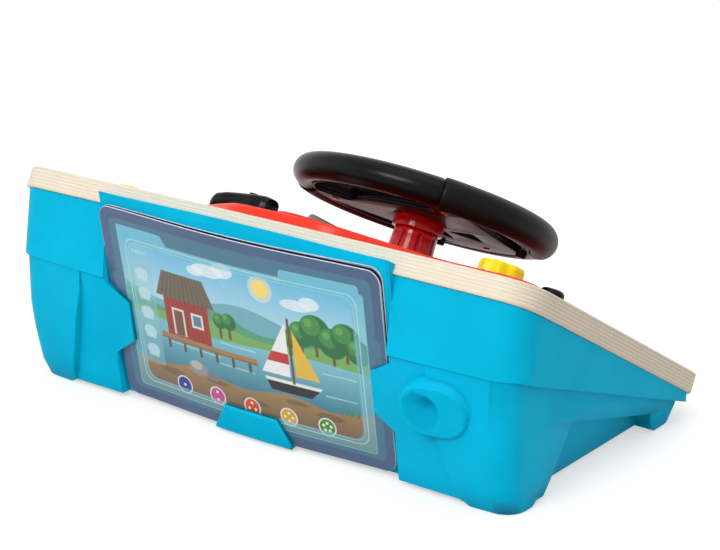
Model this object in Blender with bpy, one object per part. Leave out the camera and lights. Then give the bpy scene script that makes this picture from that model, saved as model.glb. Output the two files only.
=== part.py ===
"""Toy dashboard with a steering wheel.

A plywood board lies on a moulded plastic base, sloping down towards the child.
The base holds picture cards in a pocket at its rear. The board carries a red
fascia, a steering wheel on a fluted column, a sliding shifter, a signal lever,
two lobed dials and a push button, each with what keeps it in the board.

Axes: X to the child's right, Y from the child to the rear, Z up. The origin
is on the ground, midway between the front and the rear of the toy.
"""
import math

import bmesh
import bpy
from mathutils import Matrix, Vector

MM = 0.001
TAU = 2 * math.pi

# Running and seating gaps, what cutters run past, and the round on small edges
GAP = 0.3 * MM
OVERRUN = 20 * MM
EDGE_ROUND = 2 * MM

# Board, whose rear height is the step in the base's wall and the band above it
BOARD_WIDTH = 530 * MM
BOARD_LENGTH = 357.8 * MM
BOARD_THICKNESS = 18.7 * MM
BOARD_CORNER = 30 * MM
BOARD_BOW = 8.5 * MM
BOARD_EDGE_ROUND = 1 * MM
BOARD_TILT = math.radians(28.35)
STEP_HEIGHT = 117 * MM
BAND_TALL = 83.1 * MM
BOARD_REAR_HEIGHT = STEP_HEIGHT + BAND_TALL
BOARD_REAR_Y = 149.9 * MM
HALF_WIDTH = BOARD_WIDTH / 2

# Base walls
WALL = 3 * MM
DECK = 4 * MM
SKIRT_LIFT = 4 * MM
SOLE = 3.5 * MM
STEP_SLOPE = math.tan(math.radians(19.5))
STEP_TURN_Y = 147.7 * MM
BAND_INSET = 4 * MM
BAND_FLARE = 2.5 * MM
LOWER_INSET = 4 * MM
BAND_HALF_WIDTH = HALF_WIDTH - BAND_INSET
LOWER_HALF_WIDTH = BAND_HALF_WIDTH - LOWER_INSET
LOWER_DRAFT = 4.5 * MM
LOWER_REAR = 162.5 * MM
LOWER_TUCK = 20 * MM
LOWER_CROWN = 14 * MM
LOWER_FRONT = -145 * MM
FRONT_TUCK = 12 * MM
LOWER_CORNER = 19 * MM
BAND_REAR_LOW = 163.2 * MM
BAND_REAR_HIGH = 154.5 * MM
BAND_FRONT = -151 * MM
BAND_CORNER = 26 * MM
# height share of the step, share of the tuck still left, share at the front
WALL_SHARES = ((0.0, 1.0, 1.0), (0.13, 0.62, 0.15), (0.26, 0.44, 0.0),
               (0.41, 0.25, 0.0), (0.62, 0.07, 0.0), (1.0, 0.02, 0.0))

# Feet and the arches between them
FOOT_WIDTH = 43 * MM
FOOT_INNER = LOWER_HALF_WIDTH - FOOT_WIDTH
FOOT_SLANT = 5 * MM
ARCH_DEPTH = 19 * MM
ARCH_REAR_FOOT = 106 * MM
ARCH_FRONT_FOOT = -95 * MM
ARCH_HIGH_Y = 57 * MM
ARCH_HIGH_Z = 57 * MM
ARCH_LOW_Y = -82 * MM
ARCH_LOW_Z = 20 * MM

# Wings beside the card pocket
WING_FOOT_Y = 136.5 * MM
WING_SLOPE = 0.178
CREASE_TOP_SHARE = 0.683
CREASE_BOTTOM_SHARE = 0.785
CREASE_TOP = HALF_WIDTH * CREASE_TOP_SHARE
CREASE_BOTTOM = HALF_WIDTH * CREASE_BOTTOM_SHARE
CREASE_SHARES = ((1.0, 0.0), (0.83, 0.05), (0.42, 0.46), (0.0, 1.0))

# Picture cards
CARD_WIDTH_SHARE = 0.5453
CARD_WIDTH = BOARD_WIDTH * CARD_WIDTH_SHARE
CARD_HEIGHT = 185.2 * MM
CARD_THICK = 1.2 * MM
CARD_CORNER = 9 * MM
CARD_COUNT = 3
CARD_NAMES = ("card_back", "card_middle", "card_front")

# Card pocket
POCKET_FOOT_Y = 126.5 * MM
POCKET_LEAN = math.atan(0.19)
CARD_SIDE_GAP = 4.5 * MM
POCKET_HALF = CARD_WIDTH / 2 + CARD_SIDE_GAP
POCKET_SHIFT = 2.5 * MM
POCKET_BULGE = 6 * MM
LIP_EAR = 1 * MM
LIP_HALF = POCKET_HALF + LIP_EAR
LIP_DROP = 11 * MM
LIP_DEPTH = 16 * MM
LIP_EDGE = 0.8 * MM
LIP_FOOT_SHARE = 0.75
# height in the pocket's plane at which the lip's top, parallel to the board, meets the pocket wall
LIP_SLOPE = math.tan(BOARD_TILT + POCKET_LEAN)
LIP_TOP = (BOARD_REAR_HEIGHT * math.cos(BOARD_TILT) - LIP_DROP
           - (BOARD_REAR_Y - POCKET_FOOT_Y) * math.sin(BOARD_TILT)) / math.cos(BOARD_TILT + POCKET_LEAN)
TAB_COVER = 17 * MM
TAB_INNER = CARD_WIDTH / 2 - TAB_COVER
TAB_DROP = 2 * MM
TAB_TALL = 65 * MM
TAB_HIGH = STEP_HEIGHT - TAB_DROP
TAB_LOW = TAB_HIGH - TAB_TALL
TAB_SLANT = 14 * MM
CLIP_TOP_HALF = 27.5 * MM
CLIP_BOTTOM_HALF = 40 * MM
CLIP_TOP = 30 * MM
CLIP_FOOT = 4.6 * MM
CLIP_SHELF = 1.8 * MM
CLIP_THICK = 4.6 * MM

# Funnel pod on the left pillar
POD_X_SHARE = -0.695
POD_INNER_X = HALF_WIDTH * POD_X_SHARE
POD_SPAN = 15 * MM
POD_OUTER_X = POD_INNER_X - POD_SPAN
POD_DROP = 30.5 * MM
POD_HEIGHT = STEP_HEIGHT - POD_DROP
POD_RADIUS = 22 * MM
POD_FLARE = 5 * MM
POD_FACE = 22 * MM
POD_END_SHARE = 0.8
POD_EDGE = 2 * MM
POD_MOUTH = 15.5 * MM
POD_THROAT = 6 * MM
POD_DEPTH = 15 * MM

# Deck opening and the board screws
DECK_SIDE = 36 * MM
DECK_REAR = 34 * MM
DECK_FRONT = 34 * MM
DECK_CORNER = 16 * MM
SCREW_SHANK = 1.9 * MM
SCREW_HEAD = 4 * MM
SCREW_HEAD_THICK = 2.4 * MM
SCREW_BITE = 11 * MM
# across as a share of half the width, down as a share of the length
BOARD_SCREW_SHARES = ((0.905, 0.14), (0.905, 0.5), (0.905, 0.87))

# Stiffening ribs under the deck
RIB_X_SHARE = 0.5283
RIB_X = HALF_WIDTH * RIB_X_SHARE
RIB_THICK = 2.6 * MM
RIB_DEEP = 26 * MM
RIB_WEB = 16 * MM

# Fascia
FASCIA_THICK = 9 * MM
FASCIA_ROUND = 2.4 * MM
# corners: across share of half width, down share of length, radius share of half width
FASCIA_SHARES = ((-0.860, 0.173, 0.085), (-0.562, 0.173, 0.15), (-0.264, 0.025, 0.19),
                 (0.091, 0.025, 0.23), (0.566, 0.288, 0.19), (0.566, 0.945, 0.098),
                 (-0.860, 0.945, 0.098))
FASCIA_SCREW_SHARES = ((-0.74, 0.85), (0.42, 0.85), (-0.45, 0.25), (0.40, 0.50))

# Steering wheel
WHEEL_X_SHARE = -0.215
WHEEL_DOWN_SHARE = 0.4433
WHEEL_RISE = 63.1 * MM
WHEEL_TURN = math.radians(-17)
RIM_RADIUS = 105.3 * MM
RIM_TUBE = 12.3 * MM
NECK_TUBE = 10.6 * MM
GRIP_TUBE = 13.8 * MM
GRIP_START = math.radians(148)
GRIP_END = math.radians(234)
GRIP_OPEN_LOW = math.radians(-50)
GRIP_OPEN_HIGH = math.radians(24)
PLATE_TOP = 3.9 * MM
PLATE_THICK = 12.2 * MM
COVER_THICK = 3 * MM
PLATE_RADIUS = 97 * MM
WINDOW_RADIUS = 91.5 * MM
OPENING_RADIUS = 95.7 * MM
OPENING_RIM_ANGLE = math.radians(39)
OPENING_SIDE = 56 * MM
OPENING_SIDE_RISE = 35 * MM
OPENING_CREST = 47 * MM
CRESCENT_START = math.radians(163)
CRESCENT_END = math.radians(243)
CRESCENT_CHORD = 69.5 * MM
# triangular windows beside the middle strut: radius share of the plate, angle
TRIANGLE_SHARES = ((0.485, 220), (0.66, 252), (0.33, 264))
HUB_RING_RADIUS = 27 * MM
HUB_RING_WALL = 3.5 * MM
HUB_RING_RISE = 9.5 * MM
COVER_HOLE = 24 * MM
WHEEL_SCREW_SHARES = ((0.86, 28), (0.86, 152), (0.86, 270))

# Horn button
HORN_TRAVEL = 3.5 * MM
HORN_SIDE = 5 * MM
HORN_DOME = 5 * MM
HORN_SPRING_PRESSED = 2.5 * MM
HORN_LIFT = HORN_TRAVEL + HORN_SPRING_PRESSED

# Column, shaft and bushes
COLLAR_RADIUS = 22.3 * MM
COLLAR_FOOT = 40.6 * MM
SLEEVE_RADIUS = 19.5 * MM
SLEEVE_FLARE = 1.2 * MM
FLUTE_COUNT = 8
# place round the column in flute widths, share of the flute depth
FLUTE_SHARES = ((-0.11, 0), (-0.07, 1), (0.07, 1), (0.11, 0), (0.5, 0))
FLUTE_DEPTH = 1.7 * MM
FLUTE_TOP = 37.5 * MM
SHAFT_RADIUS = 6.4 * MM
BUSH_RADIUS = 9.8 * MM
BUSH_DEEP = 12 * MM
BUSH_FLANGE = 15 * MM
BUSH_FLANGE_THICK = 2.7 * MM
WASHER_RADIUS = 12 * MM
WASHER_THICK = 2 * MM
AXLE_SCREW_BITE = 12 * MM
AXLE_SCREW_HEAD = 4.6 * MM
AXLE_SCREW_THICK = 1.9 * MM

# Lobed dials
DIAL_RADIUS = 17.4 * MM
DIAL_LOBE = 1.5 * MM
DIAL_LOBES = 8
DIAL_HEIGHT = 11.8 * MM
DIAL_ROUND = 2.6 * MM
DIAL_SHAFT = 4.2 * MM
KEEPER_RADIUS = 9 * MM
KEEPER_THICK = 1.8 * MM
LEFT_DIAL_X_SHARE = -0.698
LEFT_DIAL_DOWN_SHARE = 0.2655
RIGHT_DIAL_X_SHARE = 0.7736
RIGHT_DIAL_DOWN_SHARE = 0.2795

# Push button
BUTTON_X_SHARE = -0.746
BUTTON_DOWN_SHARE = 0.458
BUTTON_RADIUS = 10.5 * MM
BUTTON_RISE = 9 * MM
BUTTON_WELL = 5 * MM
BUTTON_ROUND = 2.2 * MM
BUTTON_TRAVEL = 3.5 * MM
BUTTON_STEM = 8 * MM
BUTTON_RING_WALL = 3 * MM
BUTTON_RING_RISE = 1.8 * MM
CUP_WALL = 2.4 * MM
CUP_FLANGE = 17 * MM
CUP_DEEP = 13 * MM
CUP_FLANGE_THICK = 2 * MM

# Shifter
SHIFT_X_SHARE = 0.3015
SHIFT_DOWN_SHARE = 0.263
SHIFT_TRAVEL = 14 * MM
SHIFT_STEM = 4 * MM
SHIFT_BAR = 62 * MM
SHIFT_DEPTH = 27 * MM
SHIFT_BAR_FOOT = 3.2 * MM
SHIFT_BAR_TOP = 18.5 * MM
SHIFT_BAR_SLOPE = 4.4 * MM
SHIFT_SKIRT_HALF = 17 * MM
SHIFT_SKIRT_LONG = 23 * MM
SHIFT_KEEPER_WIDE = 12 * MM
SHIFT_KEEPER_LONG = 10 * MM
# bar sections: place along the bar, depth, top and foot as shares
SHIFT_SHARES = ((-1.0, 0.46, 0.78, 0.26), (-0.93, 0.68, 0.90, 0.12), (-0.78, 0.86, 0.97, 0.04),
                (-0.45, 0.96, 1.0, 0.0), (-0.1, 0.86, 0.97, 0.0), (0.12, 0.86, 0.97, 0.0),
                (0.5, 1.0, 1.0, 0.0), (0.8, 0.9, 0.94, 0.04), (0.94, 0.68, 0.82, 0.16),
                (1.0, 0.46, 0.66, 0.30))
THUMB_RADIUS = 4.6 * MM
THUMB_RISE = 2.4 * MM
THUMB_DEEP = 4 * MM
THUMB_TRAVEL = 1.6 * MM
THUMB_SPRING_PRESSED = 2.4 * MM
THUMB_WELL = THUMB_DEEP + THUMB_TRAVEL + THUMB_SPRING_PRESSED
THUMB_OFFSET = -8 * MM

# Signal lever
LEVER_PIVOT_OFFSET = 30 * MM
LEVER_HUB = 6.6 * MM
LEVER_HUB_HIGH = 11 * MM
LEVER_PIN = 2.4 * MM
LEVER_PIN_HEAD = 4.4 * MM
LEVER_PIN_HEAD_THICK = 1.8 * MM
LEVER_REACH = 83 * MM
LEVER_RISE = 16 * MM
LEVER_ROOT = 3.4 * MM
LEVER_TIP = 5.4 * MM

# Gauge
GAUGE_X_SHARE = -0.09
GAUGE_DOWN_SHARE = 0.135
GAUGE_RADIUS = 25 * MM
GAUGE_RING_WALL = 3 * MM
GAUGE_RING_RISE = 3.4 * MM
GAUGE_DISC = 1.4 * MM
GAUGE_SINK = 1 * MM

# Springs, their wire given by its radius
SPRING_WIRE = 0.55 * MM
THUMB_WIRE = 0.3 * MM
SPRING_TURNS = 3
SPRING_SIDES = 5
SPRING_STEPS = 8
HORN_SPRING_RADIUS = 10 * MM
BUTTON_SPRING_RADIUS = 6 * MM
THUMB_SPRING_RADIUS = 2.6 * MM

# Sides of round pieces
FINE_SIDES = 28
ROUND_SIDES = 20
SMALL_SIDES = 8
WHEEL_SIDES = 44
TUBE_SIDES = 12
GRIP_STEPS = 10


# Frames

def rear_reach():
    """How far the front card's bulge stands behind the pocket's foot at the card's top."""
    up = (CLIP_FOOT + CLIP_SHELF + GAP + CARD_HEIGHT)
    out = POCKET_BULGE + CARD_COUNT * (CARD_THICK + GAP)
    return POCKET_FOOT_Y + up * math.sin(POCKET_LEAN) + out * math.cos(POCKET_LEAN)


FRONT_REACH = (BOARD_REAR_Y - BOARD_LENGTH * math.cos(BOARD_TILT)
               + BOARD_EDGE_ROUND * math.sin(BOARD_TILT))
TOY = Matrix.Translation((0, -(FRONT_REACH + rear_reach()) / 2, 0))
BOARD_SEAT = (Matrix.Translation((0, BOARD_REAR_Y, BOARD_REAR_HEIGHT))
              @ Matrix.Rotation(BOARD_TILT, 4, "X"))
POCKET_SEAT = Matrix.Translation((0, POCKET_FOOT_Y, 0)) @ Matrix.Rotation(-POCKET_LEAN, 4, "X")
HERE = Matrix.Identity(4)


def on_board(x_share, down_share):
    """Spot on the board in the board's own frame."""
    return Matrix.Translation((x_share * HALF_WIDTH, -down_share * BOARD_LENGTH, 0))


STEERING = on_board(WHEEL_X_SHARE, WHEEL_DOWN_SHARE)
WHEEL = STEERING @ Matrix.Translation((0, 0, WHEEL_RISE)) @ Matrix.Rotation(WHEEL_TURN, 4, "Z")
LEFT_DIAL = on_board(LEFT_DIAL_X_SHARE, LEFT_DIAL_DOWN_SHARE)
RIGHT_DIAL = on_board(RIGHT_DIAL_X_SHARE, RIGHT_DIAL_DOWN_SHARE)
BUTTON = on_board(BUTTON_X_SHARE, BUTTON_DOWN_SHARE)
SHIFTER = on_board(SHIFT_X_SHARE, SHIFT_DOWN_SHARE)
THUMB = Matrix.Translation((THUMB_OFFSET, 0, 0))
GAUGE = on_board(GAUGE_X_SHARE, GAUGE_DOWN_SHARE)
LEVER = STEERING @ Matrix.Translation((LEVER_PIVOT_OFFSET, 0, 0))
UNDER_BOARD = -BOARD_THICKNESS - GAP


# Meshes

def finished(bm):
    """Mesh of a bmesh with its faces turned outwards."""
    bmesh.ops.recalc_face_normals(bm, faces=bm.faces)
    mesh = bpy.data.meshes.new("form")
    bm.to_mesh(mesh)
    bm.free()
    return mesh


def loft(rings, closed=False, frame=HERE):
    """Skin over rings of equally many points, with end caps unless it closes on itself."""
    bm = bmesh.new()
    rows = [[bm.verts.new(frame @ Vector(p)) for p in ring] for ring in rings]
    count = len(rings[0])
    spans = len(rows) if closed else len(rows) - 1
    for r in range(spans):
        here = rows[r]
        there = rows[(r + 1) % len(rows)]
        for i in range(count):
            j = (i + 1) % count
            bm.faces.new((here[i], here[j], there[j], there[i]))
    if not closed:
        bm.faces.new(rows[0][::-1])
        bm.faces.new(rows[-1])
    return finished(bm)


def prism(outline, low, high, frame=HERE):
    """Straight prism of an XY outline between two heights."""
    return loft([[(x, y, low) for x, y in outline], [(x, y, high) for x, y in outline]], frame=frame)


def turned(profile, frame=HERE, sides=ROUND_SIDES, closed=False):
    """Solid turned about Z from (radius, height) points; a closed profile makes a ring."""
    bm = bmesh.new()
    columns = []
    for radius, height in profile:
        places = [Vector((0, 0, height))]
        if radius > 0:
            turns = [TAU * i / sides for i in range(sides)]
            places = [Vector((radius * math.cos(t), radius * math.sin(t), height)) for t in turns]
        columns.append([bm.verts.new(frame @ p) for p in places])
    pairs = list(zip(columns, columns[1:]))
    if closed:
        pairs.append((columns[-1], columns[0]))
    for low, high in pairs:
        for i in range(sides):
            j = (i + 1) % sides
            corners = (low[i % len(low)], low[j % len(low)], high[j % len(high)], high[i % len(high)])
            bm.faces.new(dict.fromkeys(corners))
    if not closed:
        for end in (columns[0], columns[-1]):
            if len(end) > 1:
                bm.faces.new(end)
    return finished(bm)


def rod(radius, low, high, frame=HERE, sides=ROUND_SIDES):
    """Plain round bar between two heights."""
    return turned([(radius, low), (radius, high)], frame, sides)


def washer(inner, outer, low, high, frame=HERE, sides=ROUND_SIDES):
    """Flat ring between two radii and two heights."""
    return turned([(inner, low), (outer, low), (outer, high), (inner, high)], frame, sides, closed=True)


def joined(meshes):
    """One mesh holding several separate solids."""
    bm = bmesh.new()
    for mesh in meshes:
        bm.from_mesh(mesh)
        bpy.data.meshes.remove(mesh)
    mesh = bpy.data.meshes.new("form")
    bm.to_mesh(mesh)
    bm.free()
    return mesh


def boolean(body, tool, operation):
    """Exact Boolean of two meshes; both are used up."""
    holder = bpy.data.objects.new("body", body)
    cutter = bpy.data.objects.new("tool", tool)
    for item in (holder, cutter):
        bpy.context.scene.collection.objects.link(item)
    change = holder.modifiers.new("change", "BOOLEAN")
    change.operation = operation
    change.solver = "EXACT"
    change.object = cutter
    depsgraph = bpy.context.evaluated_depsgraph_get()
    result = bpy.data.meshes.new_from_object(holder.evaluated_get(depsgraph))
    for item, mesh in ((holder, body), (cutter, tool)):
        bpy.data.objects.remove(item)
        bpy.data.meshes.remove(mesh)
    return result


def minus(body, *tools):
    """Body with each tool cut out of it."""
    for tool in tools:
        body = boolean(body, tool, "DIFFERENCE")
    return body


def plus(body, *others):
    """Body with each other solid fused to it."""
    for other in others:
        body = boolean(body, other, "UNION")
    return body


# Outlines

def arc(centre, radius, start, end, steps):
    """Points on an arc, both ends included."""
    turns = [start + (end - start) * i / steps for i in range(steps + 1)]
    return [(centre[0] + radius * math.cos(t), centre[1] + radius * math.sin(t)) for t in turns]


def rounded(corners, steps=5):
    """Closed outline through (x, y, radius) corners, each rounded by an arc."""
    points = []
    count = len(corners)
    for i, (x, y, radius) in enumerate(corners):
        if radius <= 0:
            points.append((x, y))
            continue
        here = Vector((x, y))
        before = (Vector(corners[i - 1][:2]) - here).normalized()
        after = (Vector(corners[(i + 1) % count][:2]) - here).normalized()
        half = before.angle(after) / 2
        middle = here + (before + after).normalized() * radius / math.sin(half)
        start = here + before * radius / math.tan(half) - middle
        turn = before.y * after.x - before.x * after.y
        sweep = math.copysign(math.pi - 2 * half, turn)
        first = math.atan2(start.y, start.x)
        points += arc(middle, radius, first, first + sweep, steps)
    return points


def inset(points, distance):
    """Outline moved inwards by a distance, each corner along its own bisector."""
    area = sum(a[0] * b[1] - b[0] * a[1] for a, b in zip(points, points[1:] + points[:1]))
    side = math.copysign(1, area)
    moved = []
    for i, point in enumerate(points):
        before = (Vector(point) - Vector(points[i - 1])).normalized()
        after = (Vector(points[(i + 1) % len(points)]) - Vector(point)).normalized()
        normal = Vector((-(before.y + after.y), before.x + after.x)).normalized() * side
        spread = max(normal.dot(Vector((-before.y, before.x)) * side), 1 / 2)
        shift = normal * distance / spread
        moved.append((point[0] + shift.x, point[1] + shift.y))
    return moved


def oblong(half_width, half_length, corner=0, steps=3):
    """Rectangle about the origin with round corners."""
    return rounded([(half_width, half_length, corner), (-half_width, half_length, corner),
                    (-half_width, -half_length, corner), (half_width, -half_length, corner)], steps)


def slot(half_width, half_length, steps=5):
    """Round-ended slot along Y."""
    reach = half_length - half_width
    return (arc((0, reach), half_width, 0, math.pi, steps)
            + arc((0, -reach), half_width, math.pi, TAU, steps))


def plan(half_width, rear, front, corner, bow=BOARD_BOW, rear_steps=8, corner_steps=5):
    """Plan outline of the toy: bowed rear edge, straight sides and front, round corners."""
    reach = half_width - corner
    rear_at = lambda x: rear - bow * (x / half_width) ** 2
    xs = [reach - 2 * reach * i / rear_steps for i in range(rear_steps + 1)]
    points = [(x, rear_at(x)) for x in xs]
    shoulder = rear_at(reach) - corner
    quarter = math.pi / 2
    points += arc((-reach, shoulder), corner, quarter, 2 * quarter, corner_steps)[1:]
    points += arc((-reach, front + corner), corner, 2 * quarter, 3 * quarter, corner_steps)
    points += arc((reach, front + corner), corner, 3 * quarter, 4 * quarter, corner_steps)
    points += arc((reach, shoulder), corner, 0, quarter, corner_steps)[:-1]
    return points


# Base

def bulge(x):
    """Outward bulge of the pocket wall and the cards, greatest in the middle."""
    return POCKET_BULGE * max(0, 1 - ((x - POCKET_SHIFT) / POCKET_HALF) ** 2) ** 2


def stack_out():
    """Thickness of the card stack with its gaps."""
    return CARD_COUNT * (CARD_THICK + GAP)


def lower_form(shrink):
    """Lower body: walls that tuck in towards the ground."""
    rings = []
    for height, tuck, nose in WALL_SHARES:
        z = height * STEP_HEIGHT
        outline = plan(LOWER_HALF_WIDTH - LOWER_DRAFT * tuck - shrink,
                       LOWER_REAR - LOWER_TUCK * tuck - shrink,
                       LOWER_FRONT + FRONT_TUCK * nose + shrink, LOWER_CORNER)
        rings.append([(x, y, z) for x, y in outline])
    if shrink:
        rings.insert(0, [(x, y, -OVERRUN) for x, y, z in rings[0]])
    crown = plan(LOWER_HALF_WIDTH - shrink, LOWER_REAR - LOWER_CROWN - shrink,
                 LOWER_FRONT + shrink, LOWER_CORNER)
    rings.append([(x, y, BOARD_REAR_HEIGHT) for x, y in crown])
    return loft(rings)


def band_form(shrink):
    """Upper band, above the step line that slopes down to the front."""
    rings = []
    slope = (BAND_REAR_LOW - BAND_REAR_HIGH) / (BOARD_REAR_HEIGHT - STEP_HEIGHT)
    for z, flare in ((0, BAND_FLARE), (STEP_HEIGHT, BAND_FLARE), (BOARD_REAR_HEIGHT + OVERRUN, 0)):
        half = BAND_HALF_WIDTH + flare - shrink
        rear = BAND_REAR_LOW - slope * (z - STEP_HEIGHT)
        outline = plan(half, rear - shrink, BAND_FRONT + shrink, BAND_CORNER)
        rings.append([(x, y, z) for x, y in outline])
    band = loft(rings)
    far = BOARD_WIDTH
    top = STEP_HEIGHT + shrink
    profile = ((far, -far), (far, top), (STEP_TURN_Y, top),
               (-far, top - STEP_SLOPE * (STEP_TURN_Y + far)), (-far, -far))
    under = loft([[(x, y, z) for y, z in profile] for x in (-far, far)])
    return minus(band, under)


def crease(share):
    """Half width between the pillars at a share of the crease's course."""
    return CREASE_TOP + (CREASE_BOTTOM - CREASE_TOP) * share


def wing_recess(shrink):
    """Cutter that sets the wings back between the two pillars, below the step."""
    side = [(crease(s) + shrink, h * STEP_HEIGHT + (shrink if h == 1 else 0)) for h, s in CREASE_SHARES]
    side.append((side[-1][0], -OVERRUN))
    outline = side + [(-x, z) for x, z in reversed(side)]
    near = [(x, WING_FOOT_Y + WING_SLOPE * z - shrink, z) for x, z in outline]
    far = [(x, BOARD_WIDTH, z) for x, z in outline]
    return loft([near, far])


def pocket_recess(shrink):
    """Cutter behind the bowed pocket wall, open at the bottom and chamfering the lip's top edge."""
    half = POCKET_HALF + shrink
    steps = 16
    xs = [POCKET_SHIFT + half - 2 * half * i / steps for i in range(steps + 1)]
    rings = []
    levels = ((-2 * OVERRUN, 0, 0), (LIP_TOP - LIP_EDGE, 0, LIP_SLOPE), (LIP_TOP, LIP_EDGE, LIP_SLOPE),
              (BOARD_WIDTH, LIP_EDGE, 0))
    for z, deeper, slope in levels:
        ring = [(x, bulge(x) - shrink - deeper, z + slope * bulge(x)) for x in xs]
        rings.append(ring + [(xs[-1], BOARD_WIDTH, z), (xs[0], BOARD_WIDTH, z)])
    return loft(rings, frame=POCKET_SEAT)


def arch_recess(side, shrink):
    """Cutter for the arch between the feet on one side."""
    near = (LOWER_HALF_WIDTH - ARCH_DEPTH - shrink) * side
    far = BOARD_WIDTH * side
    profile = [(ARCH_REAR_FOOT + shrink, -OVERRUN), (ARCH_HIGH_Y + shrink, ARCH_HIGH_Z + shrink),
               (ARCH_LOW_Y - shrink, ARCH_LOW_Z + shrink), (ARCH_FRONT_FOOT - shrink, -OVERRUN)]
    return loft([[(x, y, z) for y, z in profile] for x in (near, far)])


def above_board(clearance):
    """Cutter for all that lies above a plane under the board."""
    far = BOARD_WIDTH
    return prism(((far, far), (-far, far), (-far, -far), (far, -far)), clearance, far, BOARD_SEAT)


def skirt_cutters():
    """Cutters that lift the skirts between the feet off the ground."""
    far = BOARD_WIDTH
    foot = FOOT_INNER - FOOT_SLANT
    across = ((-FOOT_INNER, 0), (-foot, SKIRT_LIFT), (foot, SKIRT_LIFT), (FOOT_INNER, 0),
              (FOOT_INNER, -OVERRUN), (-FOOT_INNER, -OVERRUN))
    along = ((ARCH_FRONT_FOOT, 0), (ARCH_FRONT_FOOT + FOOT_SLANT, SKIRT_LIFT),
             (ARCH_REAR_FOOT - FOOT_SLANT, SKIRT_LIFT), (ARCH_REAR_FOOT, 0),
             (ARCH_REAR_FOOT, -OVERRUN), (ARCH_FRONT_FOOT, -OVERRUN))
    return [loft([[(x, y, z) for x, z in across] for y in (-far, far)]),
            loft([[(x, y, z) for y, z in along] for x in (-far, far)])]


def soles():
    """Blocks that keep a closed sole in each hollow foot."""
    far = BOARD_WIDTH
    inner = FOOT_INNER - FOOT_SLANT - SOLE
    ends = ((ARCH_REAR_FOOT - FOOT_SLANT - SOLE, far), (ARCH_FRONT_FOOT + FOOT_SLANT + SOLE, -far))
    blocks = []
    for side in (-1, 1):
        for near, end in ends:
            outline = ((side * inner, near), (side * far, near), (side * far, end), (side * inner, end))
            blocks.append(prism(outline, -2 * OVERRUN, SOLE))
    return blocks


def tab(side):
    """Block outside the cards' edge that the pocket's cutter spares as a tab of the wing."""
    wide = POCKET_HALF + WALL
    corners = ((wide, TAB_LOW - TAB_SLANT / 4), (TAB_INNER, TAB_LOW + TAB_SLANT),
               (TAB_INNER, TAB_HIGH - TAB_SLANT), (wide, TAB_HIGH))
    inner = [(side * x, bulge(x) + stack_out() + GAP, z) for x, z in corners]
    outer = [(x, y + BOARD_WIDTH * 2, z) for x, y, z in inner]
    return loft([inner, outer], frame=POCKET_SEAT)


def clip_columns():
    """Places across the card clip with the height of its hook there."""
    middle = (-1, -1 / 2, 0, 1 / 2, 1)
    columns = [(CLIP_TOP_HALF * share, CLIP_TOP) for share in middle]
    low = CLIP_FOOT + CLIP_SHELF + CLIP_THICK / 2
    return [(-CLIP_BOTTOM_HALF, low)] + columns + [(CLIP_BOTTOM_HALF, low)]


def clip():
    """Hook that carries the cards' bottom edge: a shelf and an upright face."""
    rings = []
    edge = CLIP_THICK / 3
    shelf = CLIP_FOOT + CLIP_SHELF
    for x, top in clip_columns():
        near = bulge(x) + stack_out() + GAP
        far = near + CLIP_THICK
        profile = ((-WALL / 2, CLIP_FOOT), (far - edge, CLIP_FOOT), (far, CLIP_FOOT + edge),
                   (far, top - edge), (far - edge, top), (near, top), (near, shelf), (-WALL / 2, shelf))
        rings.append([(x, y, z) for y, z in profile])
    return loft(rings, frame=POCKET_SEAT)


def lip():
    """Block of the lip behind the board, its top parallel to it; the pocket's cutter trims its face."""
    eared = POCKET_HALF - LIP_EDGE
    half = [(LIP_HALF, -LIP_DEPTH), (LIP_HALF, -LIP_EDGE), (eared, -LIP_EDGE), (eared, 2 * POCKET_BULGE)]
    outline = [(POCKET_SHIFT + x, y) for x, y in half]
    outline += [(POCKET_SHIFT - x, y) for x, y in reversed(half)]
    block = prism(outline, LIP_FOOT_SHARE * LIP_TOP, LIP_TOP + OVERRUN, POCKET_SEAT)
    return minus(block, above_board(-LIP_DROP))


def pod_outline(radius):
    """Stadium around the pod's two centres, in the pocket's plane."""
    quarter = math.pi / 2
    return (arc((POD_OUTER_X, POD_HEIGHT), radius, quarter, 3 * quarter, 8)
            + arc((POD_INNER_X, POD_HEIGHT), radius, -quarter, quarter, 8))


def pod_level(height, radius):
    """Outline of the pod at a height over the pocket's plane, lower towards the outer end."""
    fall = (1 - POD_END_SHARE) / (POD_SPAN + POD_RADIUS)
    return [(x, height * (1 - fall * (POD_INNER_X - x)), z) for x, z in pod_outline(radius)]


def pod():
    """Raised pod that holds the funnel."""
    levels = ((0, POD_RADIUS + POD_FLARE), (POD_FACE - POD_EDGE, POD_RADIUS),
              (POD_FACE - POD_EDGE / 3, POD_RADIUS - POD_EDGE / 2), (POD_FACE, POD_RADIUS - POD_EDGE))
    return loft([pod_level(height, radius) for height, radius in levels], frame=POCKET_SEAT)


def funnel(grow):
    """Conical blind hole in the pod, or with a wall's growth its cup inside the base."""
    mouth_spot = Matrix.Translation((POD_INNER_X, POD_FACE, POD_HEIGHT))
    aim = POCKET_SEAT @ mouth_spot @ Matrix.Rotation(math.pi / 2, 4, "X")
    lean = (POD_MOUTH - POD_THROAT) / POD_DEPTH
    mouth = POD_MOUTH + grow
    profile = [(POD_THROAT + grow, POD_DEPTH + grow), (mouth, 0), (mouth + lean * POD_EDGE, -POD_EDGE)]
    return turned(profile, aim)


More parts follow.
